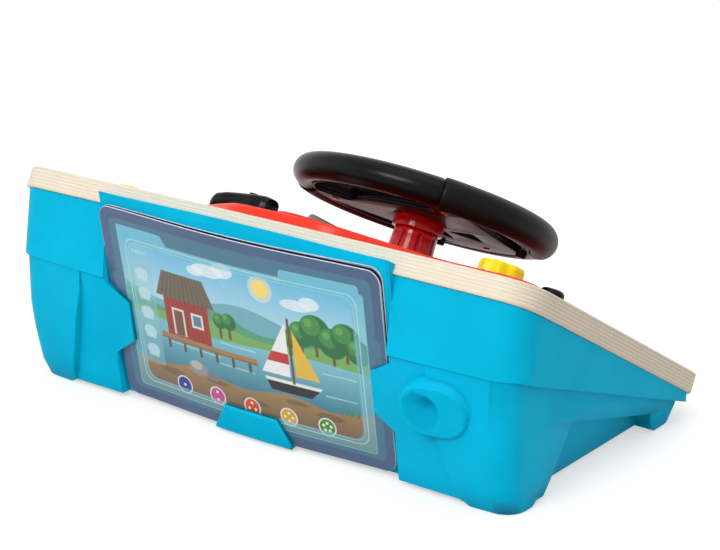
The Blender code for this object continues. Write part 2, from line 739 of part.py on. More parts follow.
def deck_outlines():
    """Outlines of the three openings in the deck, between the ribs."""
    outlines = []
    rear = -DECK_REAR
    front = DECK_FRONT - BOARD_LENGTH
    edge = HALF_WIDTH - DECK_SIDE
    web = RIB_WEB / 2
    for left, right in ((-edge, -RIB_X - web), (web - RIB_X, RIB_X - web), (RIB_X + web, edge)):
        outlines.append(rounded([(right, rear, DECK_CORNER), (left, rear, DECK_CORNER),
                                 (left, front, DECK_CORNER), (right, front, DECK_CORNER)]))
    return outlines


def ribs():
    """Plates of the two ribs that run from front to rear under the deck."""
    plates = []
    far = BOARD_WIDTH
    low = UNDER_BOARD - DECK - RIB_DEEP
    half = RIB_THICK / 2
    for x in (-RIB_X, RIB_X):
        outline = ((x - half, far), (x + half, far), (x + half, -far), (x - half, -far))
        plates.append(prism(outline, low, UNDER_BOARD, BOARD_SEAT))
    return joined(plates)


def board_screw_spots():
    """Places of the screws that hold the board, on both sides of the middle."""
    return [on_board(side * x, down) for x, down in BOARD_SCREW_SHARES for side in (-1, 1)]


def hollow_form():
    """Space inside the base, open underneath."""
    hollow = plus(lower_form(WALL), band_form(WALL))
    tools = [wing_recess(WALL), pocket_recess(WALL), above_board(UNDER_BOARD - DECK), funnel(WALL)]
    tools += [arch_recess(side, WALL) for side in (-1, 1)]
    tools += soles()
    tools.append(ribs())
    return minus(hollow, *tools)


def base_mesh():
    """The moulded base: outer form, hollow, pocket, tabs, clip, lip, pod and deck."""
    body = plus(lower_form(0), band_form(0))
    body = minus(body, above_board(UNDER_BOARD))
    body = plus(body, lip())
    pocket = minus(pocket_recess(0), tab(-1), tab(1))
    body = minus(body, board_block(GAP, BOARD_SEAT), wing_recess(0), pocket)
    body = minus(body, *[arch_recess(side, 0) for side in (-1, 1)])
    body = plus(body, pod())
    body = minus(body, hollow_form(), funnel(0), *skirt_cutters())
    body = plus(body, clip())
    low = UNDER_BOARD - DECK - RIB_THICK / 2
    body = minus(body, joined([prism(outline, low, OVERRUN, BOARD_SEAT) for outline in deck_outlines()]))
    holes = [rod(SCREW_SHANK + GAP, low, OVERRUN, BOARD_SEAT @ spot, SMALL_SIDES)
             for spot in board_screw_spots()]
    return minus(body, joined(holes))


# Board and fascia

def board_block(grow, frame=HERE):
    """The board's block, grown by a clearance where it cuts its seat."""
    edge = BOARD_EDGE_ROUND
    levels = ((-BOARD_THICKNESS - grow, edge), (-BOARD_THICKNESS - grow + edge, 0),
              (grow - edge, 0), (grow, edge))
    rings = []
    for z, shy in levels:
        outline = plan(HALF_WIDTH + grow - shy, grow - shy, -BOARD_LENGTH - grow + shy, BOARD_CORNER)
        rings.append([(x, y, z) for x, y in outline])
    return loft(rings, frame=frame)


def shift_slot():
    """Slot that the shifter's stem runs in."""
    half = SHIFT_STEM * math.sqrt(2) + GAP
    return slot(half, half + SHIFT_TRAVEL)


def through_tools(low, high, bush_hole):
    """Cutters for all that passes through the board and the fascia."""
    return [rod(bush_hole, low, high, STEERING),
            rod(DIAL_SHAFT + GAP, low, high, LEFT_DIAL),
            rod(DIAL_SHAFT + GAP, low, high, RIGHT_DIAL),
            rod(BUTTON_STEM + GAP, low, high, BUTTON),
            rod(LEVER_PIN + GAP, low, high, LEVER, SMALL_SIDES),
            prism(shift_slot(), low, high, SHIFTER)]


def fascia_screw_spots():
    """Places of the screws that hold the fascia."""
    return [on_board(x, down) for x, down in FASCIA_SCREW_SHARES]


def board_mesh():
    """The plywood board with its holes."""
    far = BOARD_THICKNESS + OVERRUN
    tools = through_tools(-far, OVERRUN, BUSH_RADIUS + GAP)
    tools += [rod(SCREW_SHANK + GAP, -far, -BOARD_THICKNESS + SCREW_BITE + GAP, spot, SMALL_SIDES)
              for spot in board_screw_spots()]
    tools += [rod(SCREW_SHANK + GAP, -far, OVERRUN, spot, SMALL_SIDES) for spot in fascia_screw_spots()]
    return minus(board_block(0), joined(tools))


def fascia_outline():
    """Outline of the fascia from its corner shares."""
    corners = [(x * HALF_WIDTH, -down * BOARD_LENGTH, r * HALF_WIDTH) for x, down, r in FASCIA_SHARES]
    return rounded(corners, steps=5)


def fascia_mesh():
    """The red fascia: rounded plate, rings for gauge and button, holes and screw bosses."""
    outline = fascia_outline()
    top = FASCIA_THICK
    levels = ((GAP, 0), (top - FASCIA_ROUND, 0), (top - FASCIA_ROUND / 3, FASCIA_ROUND / 3),
              (top, FASCIA_ROUND))
    plate = loft([[(x, y, z) for x, y in inset(outline, shy)] for z, shy in levels])
    ring = BUTTON_RADIUS + GAP + BUTTON_RING_WALL
    plate = plus(plate,
                 turned([(ring, top / 2), (ring, top + BUTTON_RING_RISE - EDGE_ROUND / 2),
                         (ring - EDGE_ROUND / 2, top + BUTTON_RING_RISE)], BUTTON),
                 turned([(GAUGE_RADIUS + GAUGE_RING_WALL, top / 2),
                         (GAUGE_RADIUS + GAUGE_RING_WALL, top + GAUGE_RING_RISE / 2),
                         (GAUGE_RADIUS + GAUGE_RING_WALL / 2, top + GAUGE_RING_RISE)], GAUGE, FINE_SIDES))
    tools = through_tools(-OVERRUN, OVERRUN, SHAFT_RADIUS + 2 * GAP)
    holes = joined(tools)
    wells = [rod(GAUGE_RADIUS, top - GAUGE_SINK, top + OVERRUN, GAUGE, FINE_SIDES),
             rod(BUTTON_RADIUS + GAP, top - BUTTON_WELL, top + OVERRUN, BUTTON)]
    bites = [rod(SCREW_SHANK + GAP, -OVERRUN, GAP + top * 2 / 3, spot, SMALL_SIDES)
             for spot in fascia_screw_spots()]
    return minus(plate, holes, joined(wells), joined(bites))


def screw(head_top, bite, head=SCREW_HEAD, thick=SCREW_HEAD_THICK):
    """Pan-head screw that points up the frame's Z, its head under the given height."""
    profile = [(head * 2 / 3, head_top - thick), (head, head_top - thick / 2),
               (head, head_top), (SCREW_SHANK, head_top), (SCREW_SHANK, head_top + bite - SCREW_SHANK),
               (0, head_top + bite)]
    return turned(profile, sides=SMALL_SIDES)


def board_screw_mesh():
    """Screw through the deck up into the board."""
    top = UNDER_BOARD - DECK - GAP
    return screw(top, DECK + 2 * GAP + SCREW_BITE)


def fascia_screw_mesh():
    """Screw through the board up into the fascia."""
    return screw(UNDER_BOARD, BOARD_THICKNESS + GAP + FASCIA_THICK * 2 / 3)


# Steering wheel

def tube_ring(angle, radius, low=0, high=TAU, sides=TUBE_SIDES, whole=True):
    """Section of the rim's tube at an angle round the wheel, zero pointing inwards."""
    steps = sides if whole else sides - 1
    ring = []
    for i in range(sides):
        t = low + (high - low) * i / steps
        r = RIM_RADIUS - radius * math.cos(t)
        ring.append((r * math.cos(angle), r * math.sin(angle), radius * math.sin(t)))
    return ring


def grip_spans():
    """Start and end angles of the two grips."""
    return ((GRIP_START, GRIP_END), (math.pi - GRIP_END, math.pi - GRIP_START))


def rim_mesh_ring():
    """Rim tube with a neck under each grip."""
    marks = []
    turns = sorted((start % TAU, (end - start)) for start, end in grip_spans())
    for start, length in turns:
        marks += [(start, RIM_TUBE), (start, NECK_TUBE)]
        marks += [(start + length * i / GRIP_STEPS, NECK_TUBE) for i in range(1, GRIP_STEPS)]
        marks += [(start + length, NECK_TUBE), (start + length, RIM_TUBE)]
        following = [s for s, _ in turns if s > start]
        stop = following[0] if following else turns[0][0] + TAU
        free = stop - start - length
        count = max(GRIP_STEPS // 2, round(free / TAU * WHEEL_SIDES))
        marks += [(start + length + free * i / count, RIM_TUBE) for i in range(1, count)]
    return loft([tube_ring(angle, radius) for angle, radius in marks], closed=True)


def grip_mesh(span):
    """C-shaped grip shell round the neck, open towards the spokes."""
    margin = GAP / RIM_RADIUS
    start = span[0] + margin
    end = span[1] - margin
    low = GRIP_OPEN_HIGH
    high = GRIP_OPEN_LOW + TAU
    rings = []
    for i in range(GRIP_STEPS + 1):
        angle = start + (end - start) * i / GRIP_STEPS
        shy = GRIP_TUBE - EDGE_ROUND / 2 if i in (0, GRIP_STEPS) else GRIP_TUBE
        outer = tube_ring(angle, shy, low, high, TUBE_SIDES, whole=False)
        inner = tube_ring(angle, NECK_TUBE + GAP, low, high, TUBE_SIDES, whole=False)
        rings.append(outer + inner[::-1])
    return loft(rings)


def polar(radius, angle):
    """Point at a radius and an angle in degrees."""
    turn = math.radians(angle)
    return (radius * math.cos(turn), radius * math.sin(turn))


def top_opening():
    """Window above the hub, bounded by the rim and an arched hub edge."""
    over = arc((0, 0), OPENING_RADIUS, OPENING_RIM_ANGLE, math.pi - OPENING_RIM_ANGLE, 8)
    corners = [(x, y, 0) for x, y in over]
    arch = OPENING_SIDE / 2
    rise = OPENING_SIDE_RISE + (OPENING_CREST - OPENING_SIDE_RISE) * 3 / 4
    corners += [(-OPENING_SIDE, OPENING_SIDE_RISE, EDGE_ROUND * 3), (-arch, rise, 0), (0, OPENING_CREST, 0),
                (arch, rise, 0), (OPENING_SIDE, OPENING_SIDE_RISE, EDGE_ROUND * 3)]
    return rounded(corners, steps=4)


def crescent(side):
    """Window between the rim and a chord, mirrored for the other side."""
    over = arc((0, 0), WINDOW_RADIUS, CRESCENT_START, CRESCENT_END, 8)
    middle = (CRESCENT_START + CRESCENT_END) / 2
    chord = (CRESCENT_CHORD * math.cos(middle), CRESCENT_CHORD * math.sin(middle))
    return [(side * x, y) for x, y in over + [chord]]


def triangle(side):
    """Triangular window beside the middle strut."""
    corners = [polar(share * PLATE_RADIUS, angle) + (EDGE_ROUND * 3 / 2,) for share, angle in TRIANGLE_SHARES]
    return [(side * x, y) for x, y in rounded(corners, steps=3)]


def window_tools(low, high):
    """Cutters for the wheel's windows between two heights."""
    outlines = [top_opening(), crescent(1), crescent(-1), triangle(1), triangle(-1)]
    return joined([prism(outline, low, high) for outline in outlines])


def wheel_screw_spots():
    """Places of the screws in the wheel's cover."""
    frames = []
    for share, angle in WHEEL_SCREW_SHARES:
        x, y = polar(share * PLATE_RADIUS, angle)
        frames.append(Matrix.Translation((x, y, 0)))
    return frames


def wheel_body_mesh():
    """Rim, spokes and hub in one moulding."""
    low = PLATE_TOP - PLATE_THICK
    plate = rod(PLATE_RADIUS, low, PLATE_TOP, sides=WHEEL_SIDES)
    plate = minus(plate, window_tools(low - OVERRUN, PLATE_TOP + OVERRUN))
    body = plus(rim_mesh_ring(), plate)
    wall = HUB_RING_RADIUS - HUB_RING_WALL
    top = PLATE_TOP + HUB_RING_RISE
    ring = turned([(wall, PLATE_TOP - EDGE_ROUND), (HUB_RING_RADIUS + EDGE_ROUND, PLATE_TOP - EDGE_ROUND),
                   (HUB_RING_RADIUS + EDGE_ROUND, PLATE_TOP), (HUB_RING_RADIUS, top - EDGE_ROUND / 2),
                   (HUB_RING_RADIUS - EDGE_ROUND / 2, top), (wall, top)], sides=FINE_SIDES, closed=True)
    body = plus(body, ring)
    bites = [rod(SCREW_SHANK + GAP, low - OVERRUN, PLATE_TOP - PLATE_THICK / 3, spot, SMALL_SIDES)
             for spot in wheel_screw_spots()]
    bore = rod(SHAFT_RADIUS + GAP, low - OVERRUN, PLATE_TOP - PLATE_THICK / 3)
    bolt = rod(SCREW_SHANK + GAP, low, PLATE_TOP + OVERRUN, sides=SMALL_SIDES)
    return minus(body, joined(bites), bore, bolt)


def cover_low():
    """Height of the wheel cover's underside in the wheel's frame."""
    return PLATE_TOP - PLATE_THICK - GAP - COVER_THICK


def wheel_cover_mesh():
    """Cover under the spokes, its edge sloped to clear the grips."""
    low = cover_low()
    high = low + COVER_THICK
    swell = GRIP_TUBE + GAP
    edge = [(RIM_RADIUS - math.sqrt(swell ** 2 - z ** 2), z) for z in (low, high)]
    cover = minus(turned(edge, sides=WHEEL_SIDES), window_tools(low - OVERRUN, high + OVERRUN))
    holes = [rod(SCREW_SHANK + GAP, low - OVERRUN, high + OVERRUN, spot, SMALL_SIDES)
             for spot in wheel_screw_spots()]
    sinks = [rod(SCREW_HEAD + GAP, low - OVERRUN, low + COVER_THICK / 2, spot, SMALL_SIDES)
             for spot in wheel_screw_spots()]
    bore = rod(COVER_HOLE, low - OVERRUN, high + OVERRUN, sides=FINE_SIDES)
    return minus(cover, joined(holes), joined(sinks), bore)


def wheel_screw_mesh():
    """Screw that holds the cover to a spoke."""
    head = cover_low() + COVER_THICK / 2 - GAP
    bite = COVER_THICK / 2 + GAP + PLATE_THICK / 2
    return screw(head, bite)


def collar_mesh():
    """Collar of the column that turns with the wheel."""
    foot = COLLAR_FOOT
    top = WHEEL_RISE + PLATE_TOP - PLATE_THICK - GAP
    bore = SHAFT_RADIUS + GAP
    edge = EDGE_ROUND / 2
    return turned([(bore, foot), (COLLAR_RADIUS - edge, foot), (COLLAR_RADIUS, foot + edge),
                   (COLLAR_RADIUS, top - edge), (COLLAR_RADIUS - edge, top), (bore, top)],
                  sides=FINE_SIDES, closed=True)


def sleeve_mesh():
    """Fluted sleeve of the column, fixed to the fascia."""
    foot = FASCIA_THICK + GAP
    top = COLLAR_FOOT - GAP
    levels = ((foot, SLEEVE_FLARE, 1), (FLUTE_TOP - FLUTE_DEPTH, 0, 1), (FLUTE_TOP, 0, 0), (top, 0, 0))
    period = TAU / FLUTE_COUNT
    rings = []
    for z, flare, sunk in levels:
        ring = []
        for i in range(FLUTE_COUNT):
            for share, depth in FLUTE_SHARES:
                t = (i + share) * period
                r = SLEEVE_RADIUS + flare - FLUTE_DEPTH * depth * sunk
                ring.append((r * math.cos(t), r * math.sin(t), z))
        rings.append(ring)
    sleeve = loft(rings)
    bore = rod(SHAFT_RADIUS + 2 * GAP, foot - OVERRUN, top + OVERRUN)
    seat = rod(BUSH_RADIUS + GAP, top - BUSH_DEEP - GAP, top + OVERRUN)
    return minus(sleeve, bore, seat)


def upper_bush_mesh():
    """Plain bush in the top of the sleeve."""
    top = COLLAR_FOOT - GAP
    return washer(SHAFT_RADIUS + GAP, BUSH_RADIUS, top - BUSH_DEEP, top)


def lower_bush_mesh():
    """Flanged bush in the board, under the fascia."""
    bore = SHAFT_RADIUS + GAP
    seat = UNDER_BOARD
    foot = seat - BUSH_FLANGE_THICK
    return turned([(bore, foot), (BUSH_FLANGE, foot), (BUSH_FLANGE, seat), (BUSH_RADIUS, seat),
                   (BUSH_RADIUS, -GAP), (bore, -GAP)], closed=True)


def shaft_low():
    """Lower end of the steering shaft, just past the bush's flange."""
    return UNDER_BOARD - BUSH_FLANGE_THICK - GAP


def shaft_high():
    """Upper end of the steering shaft, inside the wheel's hub."""
    return WHEEL_RISE + PLATE_TOP - PLATE_THICK / 3 - GAP


def steering_shaft_mesh():
    """Shaft with a screw hole in each end."""
    shaft = rod(SHAFT_RADIUS, shaft_low(), shaft_high())
    hole = SCREW_SHANK + GAP
    low = rod(hole, shaft_low() - OVERRUN, shaft_low() + AXLE_SCREW_BITE, sides=SMALL_SIDES)
    high = rod(hole, shaft_high() - AXLE_SCREW_BITE, shaft_high() + OVERRUN, sides=SMALL_SIDES)
    return minus(shaft, low, high)


def shaft_washer_mesh():
    """Washer under the shaft that stops it lifting out."""
    top = shaft_low() - GAP
    return washer(SCREW_SHANK + GAP, WASHER_RADIUS, top - WASHER_THICK, top)


def shaft_screw_mesh():
    """Screw up into the shaft through its washer."""
    top = shaft_low() - 2 * GAP - WASHER_THICK
    return screw(top, WASHER_THICK + AXLE_SCREW_BITE - GAP, AXLE_SCREW_HEAD, AXLE_SCREW_THICK)


def hub_screw_mesh():
    """Screw down through the hub's floor into the shaft."""
    head = -(PLATE_TOP + GAP)
    mesh = screw(head, PLATE_THICK / 3 + AXLE_SCREW_BITE, AXLE_SCREW_HEAD, AXLE_SCREW_THICK)
    mesh.transform(Matrix.Rotation(math.pi, 4, "X"))
    return mesh


def horn_button_mesh():
    """Domed horn button in the hub's ring."""
    foot = PLATE_TOP + HORN_LIFT
    side = HUB_RING_RADIUS - HUB_RING_WALL - 2 * GAP
    top = foot + HORN_SIDE
    profile = [(side, foot), (side, top - EDGE_ROUND / 2)]
    profile += [(side * math.cos(t), top - EDGE_ROUND / 2 + HORN_DOME * math.sin(t))
                for t in (math.pi / 12, math.pi / 6, math.pi / 4, math.pi / 3)]
    profile.append((0, top - EDGE_ROUND / 2 + HORN_DOME))
    return turned(profile, sides=FINE_SIDES)


def spring_mesh(radius, low, high, wire=SPRING_WIRE):
    """Coil spring: one tube along a helix, the wire's end faces closed."""
    low += wire
    high -= wire
    rings = []
    total = SPRING_TURNS * SPRING_STEPS
    for i in range(total + 1):
        t = TAU * i / SPRING_STEPS
        rise = low + (high - low) * i / total
        ring = []
        for k in range(SPRING_SIDES):
            a = TAU * k / SPRING_SIDES
            r = radius + wire * math.cos(a)
            ring.append((r * math.cos(t), r * math.sin(t), rise + wire * math.sin(a)))
        rings.append(ring)
    return loft(rings)


def horn_spring_mesh():
    """Spring between the hub's floor and the horn button."""
    return spring_mesh(HORN_SPRING_RADIUS, PLATE_TOP + GAP, PLATE_TOP + HORN_LIFT - GAP)


# Dials

def dial_mesh(foot):
    """Lobed dial with its shaft through the board."""
    sides = DIAL_LOBES * 4
    rings = []
    top = foot + DIAL_HEIGHT
    levels = ((foot, DIAL_RADIUS), (top - DIAL_ROUND, DIAL_RADIUS - DIAL_LOBE / 2),
              (top - DIAL_ROUND / 4, DIAL_RADIUS - DIAL_LOBE / 2 - DIAL_ROUND / 3),
              (top, DIAL_RADIUS - DIAL_LOBE / 2 - DIAL_ROUND))
    for z, radius in levels:
        ring = []
        for i in range(sides):
            t = TAU * i / sides
            r = radius - DIAL_LOBE * (1 + math.cos(DIAL_LOBES * t)) / 2
            ring.append((r * math.cos(t), r * math.sin(t), z))
        rings.append(ring)
    knob = loft(rings)
    end = UNDER_BOARD - KEEPER_THICK - 2 * GAP
    shaft = rod(DIAL_SHAFT, end, foot + DIAL_HEIGHT / 2, sides=SMALL_SIDES)
    pointer = [(x, y + DIAL_RADIUS / 6) for x, y in slot(DIAL_SHAFT / 2, DIAL_RADIUS / 2, 3)]
    return plus(knob, shaft, prism(pointer, top - DIAL_ROUND, top + DIAL_ROUND / 3))


def dial_keeper_mesh():
    """Push-on ring that keeps a dial's shaft in the board."""
    top = UNDER_BOARD
    return washer(DIAL_SHAFT + GAP, KEEPER_RADIUS, top - KEEPER_THICK, top, sides=SMALL_SIDES)


# Push button

def push_button_mesh():
    """Button cap with its stem."""
    foot = FASCIA_THICK - BUTTON_WELL + BUTTON_TRAVEL + GAP
    top = FASCIA_THICK + BUTTON_RISE
    edge = BUTTON_ROUND
    end = UNDER_BOARD
    profile = [(BUTTON_STEM, end), (BUTTON_STEM, foot), (BUTTON_RADIUS, foot), (BUTTON_RADIUS, top - edge),
               (BUTTON_RADIUS - edge / 3, top - edge / 3), (BUTTON_RADIUS - edge, top), (0, top + edge / 6)]
    return turned(profile)


def button_cup_mesh():
    """Cup under the board that holds the button's spring."""
    top = UNDER_BOARD
    floor = top - CUP_DEEP
    inner = BUTTON_STEM + GAP
    outer = inner + CUP_WALL
    return turned([(outer, floor - CUP_WALL), (outer, top - CUP_FLANGE_THICK),
                   (CUP_FLANGE, top - CUP_FLANGE_THICK), (CUP_FLANGE, top), (inner, top), (inner, floor)])


def button_spring_mesh():
    """Spring between the cup's floor and the button's stem."""
    return spring_mesh(BUTTON_SPRING_RADIUS, UNDER_BOARD - CUP_DEEP + GAP, UNDER_BOARD - GAP)


# Shifter

def shift_handle_mesh():
    """T-shaped handle: rounded bar, skirt over the slot and stem through the board."""
    foot = FASCIA_THICK + GAP
    rings = []
    for along, deep, high, low in SHIFT_SHARES:
        x = along * SHIFT_BAR / 2
        half = deep * SHIFT_DEPTH / 2
        rise = SHIFT_BAR_TOP - SHIFT_BAR_SLOPE * along
        top = foot + rise * high
        base = foot + SHIFT_BAR_FOOT + (rise - SHIFT_BAR_FOOT) * low
        middle = (top + base) / 2
        tall = (top - base) / 2
        ring = []
        for i in range(TUBE_SIDES):
            t = TAU * (i + 1 / 2) / TUBE_SIDES
            c = math.cos(t)
            s = math.sin(t)
            y = half * math.copysign(abs(c) ** (2 / 3), c)
            z = middle + tall * math.copysign(abs(s) ** (2 / 3), s)
            ring.append((x, y, z))
        rings.append(ring)
    bar = loft(rings)
    outline = oblong(SHIFT_SKIRT_HALF, SHIFT_SKIRT_LONG, SHIFT_BAR_FOOT * 5 / 2, 5)
    skirt = loft([[(x, y, foot) for x, y in outline],
                  [(x, y, foot + SHIFT_BAR_FOOT / 2) for x, y in outline],
                  [(x, y, foot + SHIFT_BAR_FOOT * 2) for x, y in inset(outline, SHIFT_BAR_FOOT * 2)]])
    stem = prism(oblong(SHIFT_STEM, SHIFT_STEM), UNDER_BOARD, foot + SHIFT_BAR_TOP / 2)
    handle = plus(bar, skirt, stem)
    well = rod(THUMB_RADIUS + GAP, thumb_floor(), OVERRUN * 3, THUMB)
    bite = rod(SCREW_SHANK + GAP, UNDER_BOARD - OVERRUN, UNDER_BOARD + SCREW_BITE, sides=SMALL_SIDES)
    return minus(handle, well, bite)


def thumb_top():
    """Height of the bar's top beside the thumb button."""
    return FASCIA_THICK + GAP + SHIFT_BAR_TOP


def thumb_floor():
    """Floor of the thumb button's well."""
    return thumb_top() - THUMB_WELL


def thumb_button_mesh():
    """Small button in the bar of the shifter."""
    foot = thumb_top() - THUMB_DEEP
    top = thumb_top() + THUMB_RISE
    edge = THUMB_RISE / 3
    return turned([(THUMB_RADIUS, foot), (THUMB_RADIUS, top - edge), (THUMB_RADIUS - edge, top)],
                  sides=SMALL_SIDES)


def thumb_spring_mesh():
    """Spring under the thumb button."""
    return spring_mesh(THUMB_SPRING_RADIUS, thumb_floor() + GAP, thumb_top() - THUMB_DEEP - GAP, THUMB_WIRE)


def shift_keeper_mesh():
    """Plate under the board that keeps the shifter in its slot."""
    top = UNDER_BOARD - GAP
    outline = oblong(SHIFT_KEEPER_WIDE, SHIFT_KEEPER_LONG, EDGE_ROUND)
    plate = prism(outline, top - WASHER_THICK, top)
    return minus(plate, rod(SCREW_SHANK + GAP, top - OVERRUN, top + OVERRUN, sides=SMALL_SIDES))


def shift_screw_mesh():
    """Screw up into the shifter's stem through its keeper."""
    top = UNDER_BOARD - 2 * GAP - WASHER_THICK
    return screw(top, WASHER_THICK + SCREW_BITE)


# Signal lever

def lever_mesh():
    """Lever: hub on a pivot pin and a rising, swelling arm with a round tip."""
    foot = FASCIA_THICK + GAP
    hub = turned([(LEVER_HUB, foot), (LEVER_HUB, foot + LEVER_HUB_HIGH - EDGE_ROUND / 2),
                  (LEVER_HUB - EDGE_ROUND / 2, foot + LEVER_HUB_HIGH)])
    rise = foot + LEVER_HUB_HIGH / 2
    tip_start = 1 - LEVER_TIP / LEVER_REACH
    marks = [(share, 1) for share in (0, 1 / 4, 1 / 2, 3 / 4)]
    marks += [(tip_start + LEVER_TIP / LEVER_REACH * math.sin(t), math.cos(t))
              for t in (0, math.pi / 6, math.pi / 3, math.pi * 9 / 20)]
    turns = [TAU * i / TUBE_SIDES for i in range(TUBE_SIDES)]
    rings = []
    for along, round_off in marks:
        x = along * LEVER_REACH
        radius = (LEVER_ROOT + (LEVER_TIP - LEVER_ROOT) * min(along, tip_start)) * round_off
        z = rise + LEVER_RISE * along
        rings.append([(x, radius * math.cos(t), z + radius * math.sin(t)) for t in turns])
    bore = rod(LEVER_PIN + GAP, foot - OVERRUN, foot + LEVER_HUB_HIGH + OVERRUN, sides=SMALL_SIDES)
    return minus(plus(hub, loft(rings)), bore)


def lever_pin_mesh():
    """Pivot pin with a head above the lever and its end under the board."""
    top = FASCIA_THICK + 2 * GAP + LEVER_HUB_HIGH
    end = UNDER_BOARD - KEEPER_THICK - 2 * GAP
    return turned([(LEVER_PIN, end), (LEVER_PIN, top), (LEVER_PIN_HEAD, top),
                   (LEVER_PIN_HEAD, top + LEVER_PIN_HEAD_THICK / 2),
                   (LEVER_PIN_HEAD * 2 / 3, top + LEVER_PIN_HEAD_THICK)], sides=SMALL_SIDES)


def lever_nut_mesh():
    """Push-on nut at the lower end of the pivot pin."""
    top = UNDER_BOARD
    return washer(LEVER_PIN + GAP, KEEPER_RADIUS * 2 / 3, top - KEEPER_THICK, top, sides=SMALL_SIDES)


# Gauge and cards

def gauge_disc_mesh():
    """Printed disc in the gauge's ring."""
    foot = FASCIA_THICK - GAUGE_SINK + GAP
    return rod(GAUGE_RADIUS - GAP, foot, foot + GAUGE_DISC, sides=FINE_SIDES)


def card_mesh(index):
    """One card of the stack, curved with the pocket wall."""
    near = GAP + index * (CARD_THICK + GAP)
    foot = CLIP_FOOT + CLIP_SHELF + GAP
    half = CARD_WIDTH / 2
    corner = CARD_CORNER
    ends = [(half - corner + corner * math.cos(t), corner - corner * math.sin(t))
            for t in (0, math.pi / 8, math.pi / 4, math.pi * 3 / 8, math.pi / 2)]
    steps = 12
    reach = half - corner
    columns = ends + [(reach - 2 * reach * i / steps, 0) for i in range(1, steps)]
    columns += [(-x, cut) for x, cut in reversed(ends)]
    rings = []
    for across, cut in columns:
        x = POCKET_SHIFT + across
        y = near + bulge(x)
        low = foot + cut
        high = foot + CARD_HEIGHT - cut
        rings.append([(x, y, low), (x, y + CARD_THICK, low), (x, y + CARD_THICK, high), (x, y, high)])
    return loft(rings)


# Assembly

def material(name, colour, roughness, metallic=0.0):
    """Principled material of one finish."""
    finish = bpy.data.materials.new(name)
    finish.use_nodes = True
    shader = finish.node_tree.nodes["Principled BSDF"]
    shader.inputs["Base Color"].default_value = (*colour, 1)
    shader.inputs["Roughness"].default_value = roughness
    shader.inputs["Metallic"].default_value = metallic
    finish.diffuse_color = (*colour, 1)
    return finish


def place(name, mesh, finish, frame):
    """Object of a mesh in its own frame, put into the toy with a material of its own."""
    mesh.name = name
    mesh.materials.clear()
    mesh.materials.append(finish.copy())
    mesh.shade_smooth()
    mesh.set_sharp_from_angle(angle=math.radians(35))
    item = bpy.data.objects.new(name, mesh)
    item.matrix_world = frame
    bpy.context.scene.collection.objects.link(item)


def place_each(name, maker, frames, finish):
    """One numbered object for each frame."""
    for number, frame in enumerate(frames, start=1):
        place(f"{name}_{number}", maker(), finish, frame)


def build():
    """Make every sub-part in its place."""
    for item in list(bpy.data.objects):
        bpy.data.objects.remove(item)
    blue = material("blue_plastic", (0.0, 0.48, 0.75), 0.35)
    wood = material("birch_plywood", (0.80, 0.68, 0.50), 0.6)
    red = material("red_plastic", (0.85, 0.06, 0.04), 0.35)
    crimson = material("column_red", (0.45, 0.01, 0.03), 0.3)
    black = material("black_plastic", (0.02, 0.02, 0.022), 0.35)
    soft_black = material("grip_black", (0.035, 0.035, 0.038), 0.55)
    yellow = material("yellow_plastic", (0.95, 0.72, 0.0), 0.35)
    grey = material("grey_plastic", (0.42, 0.42, 0.43), 0.4)
    steel = material("steel", (0.6, 0.6, 0.62), 0.3, 1.0)
    white = material("white_acetal", (0.85, 0.85, 0.83), 0.4)
    card = material("card_board", (0.10, 0.18, 0.26), 0.5)

    board = TOY @ BOARD_SEAT
    pocket = TOY @ POCKET_SEAT
    place("base_housing", base_mesh(), blue, TOY)
    place("dash_board", board_mesh(), wood, board)
    place("fascia", fascia_mesh(), red, board)
    place_each("board_screw", board_screw_mesh, [board @ spot for spot in board_screw_spots()], steel)
    place_each("fascia_screw", fascia_screw_mesh, [board @ spot for spot in fascia_screw_spots()], steel)
    place("gauge_disc", gauge_disc_mesh(), white, board @ GAUGE)

    wheel = board @ WHEEL
    column = board @ STEERING
    place("wheel_body", wheel_body_mesh(), black, wheel)
    for name, span in zip(("grip_left", "grip_right"), grip_spans()):
        place(name, grip_mesh(span), soft_black, wheel)
    place("wheel_cover", wheel_cover_mesh(), black, wheel)
    place_each("wheel_screw", wheel_screw_mesh, [wheel @ spot for spot in wheel_screw_spots()], steel)
    place("horn_button", horn_button_mesh(), red, wheel)
    place("horn_spring", horn_spring_mesh(), steel, wheel)
    place("hub_screw", hub_screw_mesh(), steel, wheel)
    place("column_collar", collar_mesh(), crimson, column)
    place("column_sleeve", sleeve_mesh(), crimson, column)
    place("steering_shaft", steering_shaft_mesh(), steel, column)
    place("upper_bush", upper_bush_mesh(), white, column)
    place("lower_bush", lower_bush_mesh(), white, column)
    place("shaft_washer", shaft_washer_mesh(), steel, column)
    place("shaft_screw", shaft_screw_mesh(), steel, column)

    for side, spot, foot in (("left", LEFT_DIAL, FASCIA_THICK + GAP), ("right", RIGHT_DIAL, GAP)):
        place("dial_" + side, dial_mesh(foot), yellow, board @ spot)
        place("dial_keeper_" + side, dial_keeper_mesh(), white, board @ spot)

    place("push_button", push_button_mesh(), black, board @ BUTTON)
    place("button_cup", button_cup_mesh(), white, board @ BUTTON)
    place("button_spring", button_spring_mesh(), steel, board @ BUTTON)

    shifter = board @ SHIFTER
    place("shift_handle", shift_handle_mesh(), black, shifter)
    place("shift_keeper", shift_keeper_mesh(), white, shifter)
    place("shift_screw", shift_screw_mesh(), steel, shifter)
    place("thumb_button", thumb_button_mesh(), soft_black, shifter @ THUMB)
    place("thumb_spring", thumb_spring_mesh(), steel, shifter @ THUMB)

    lever = board @ LEVER
    place("signal_lever", lever_mesh(), grey, lever)
    place("lever_pin", lever_pin_mesh(), steel, lever)
    place("lever_nut", lever_nut_mesh(), steel, lever)

    for index, name in enumerate(CARD_NAMES):
        place(name, card_mesh(index), card, pocket)


build()
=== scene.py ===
import math

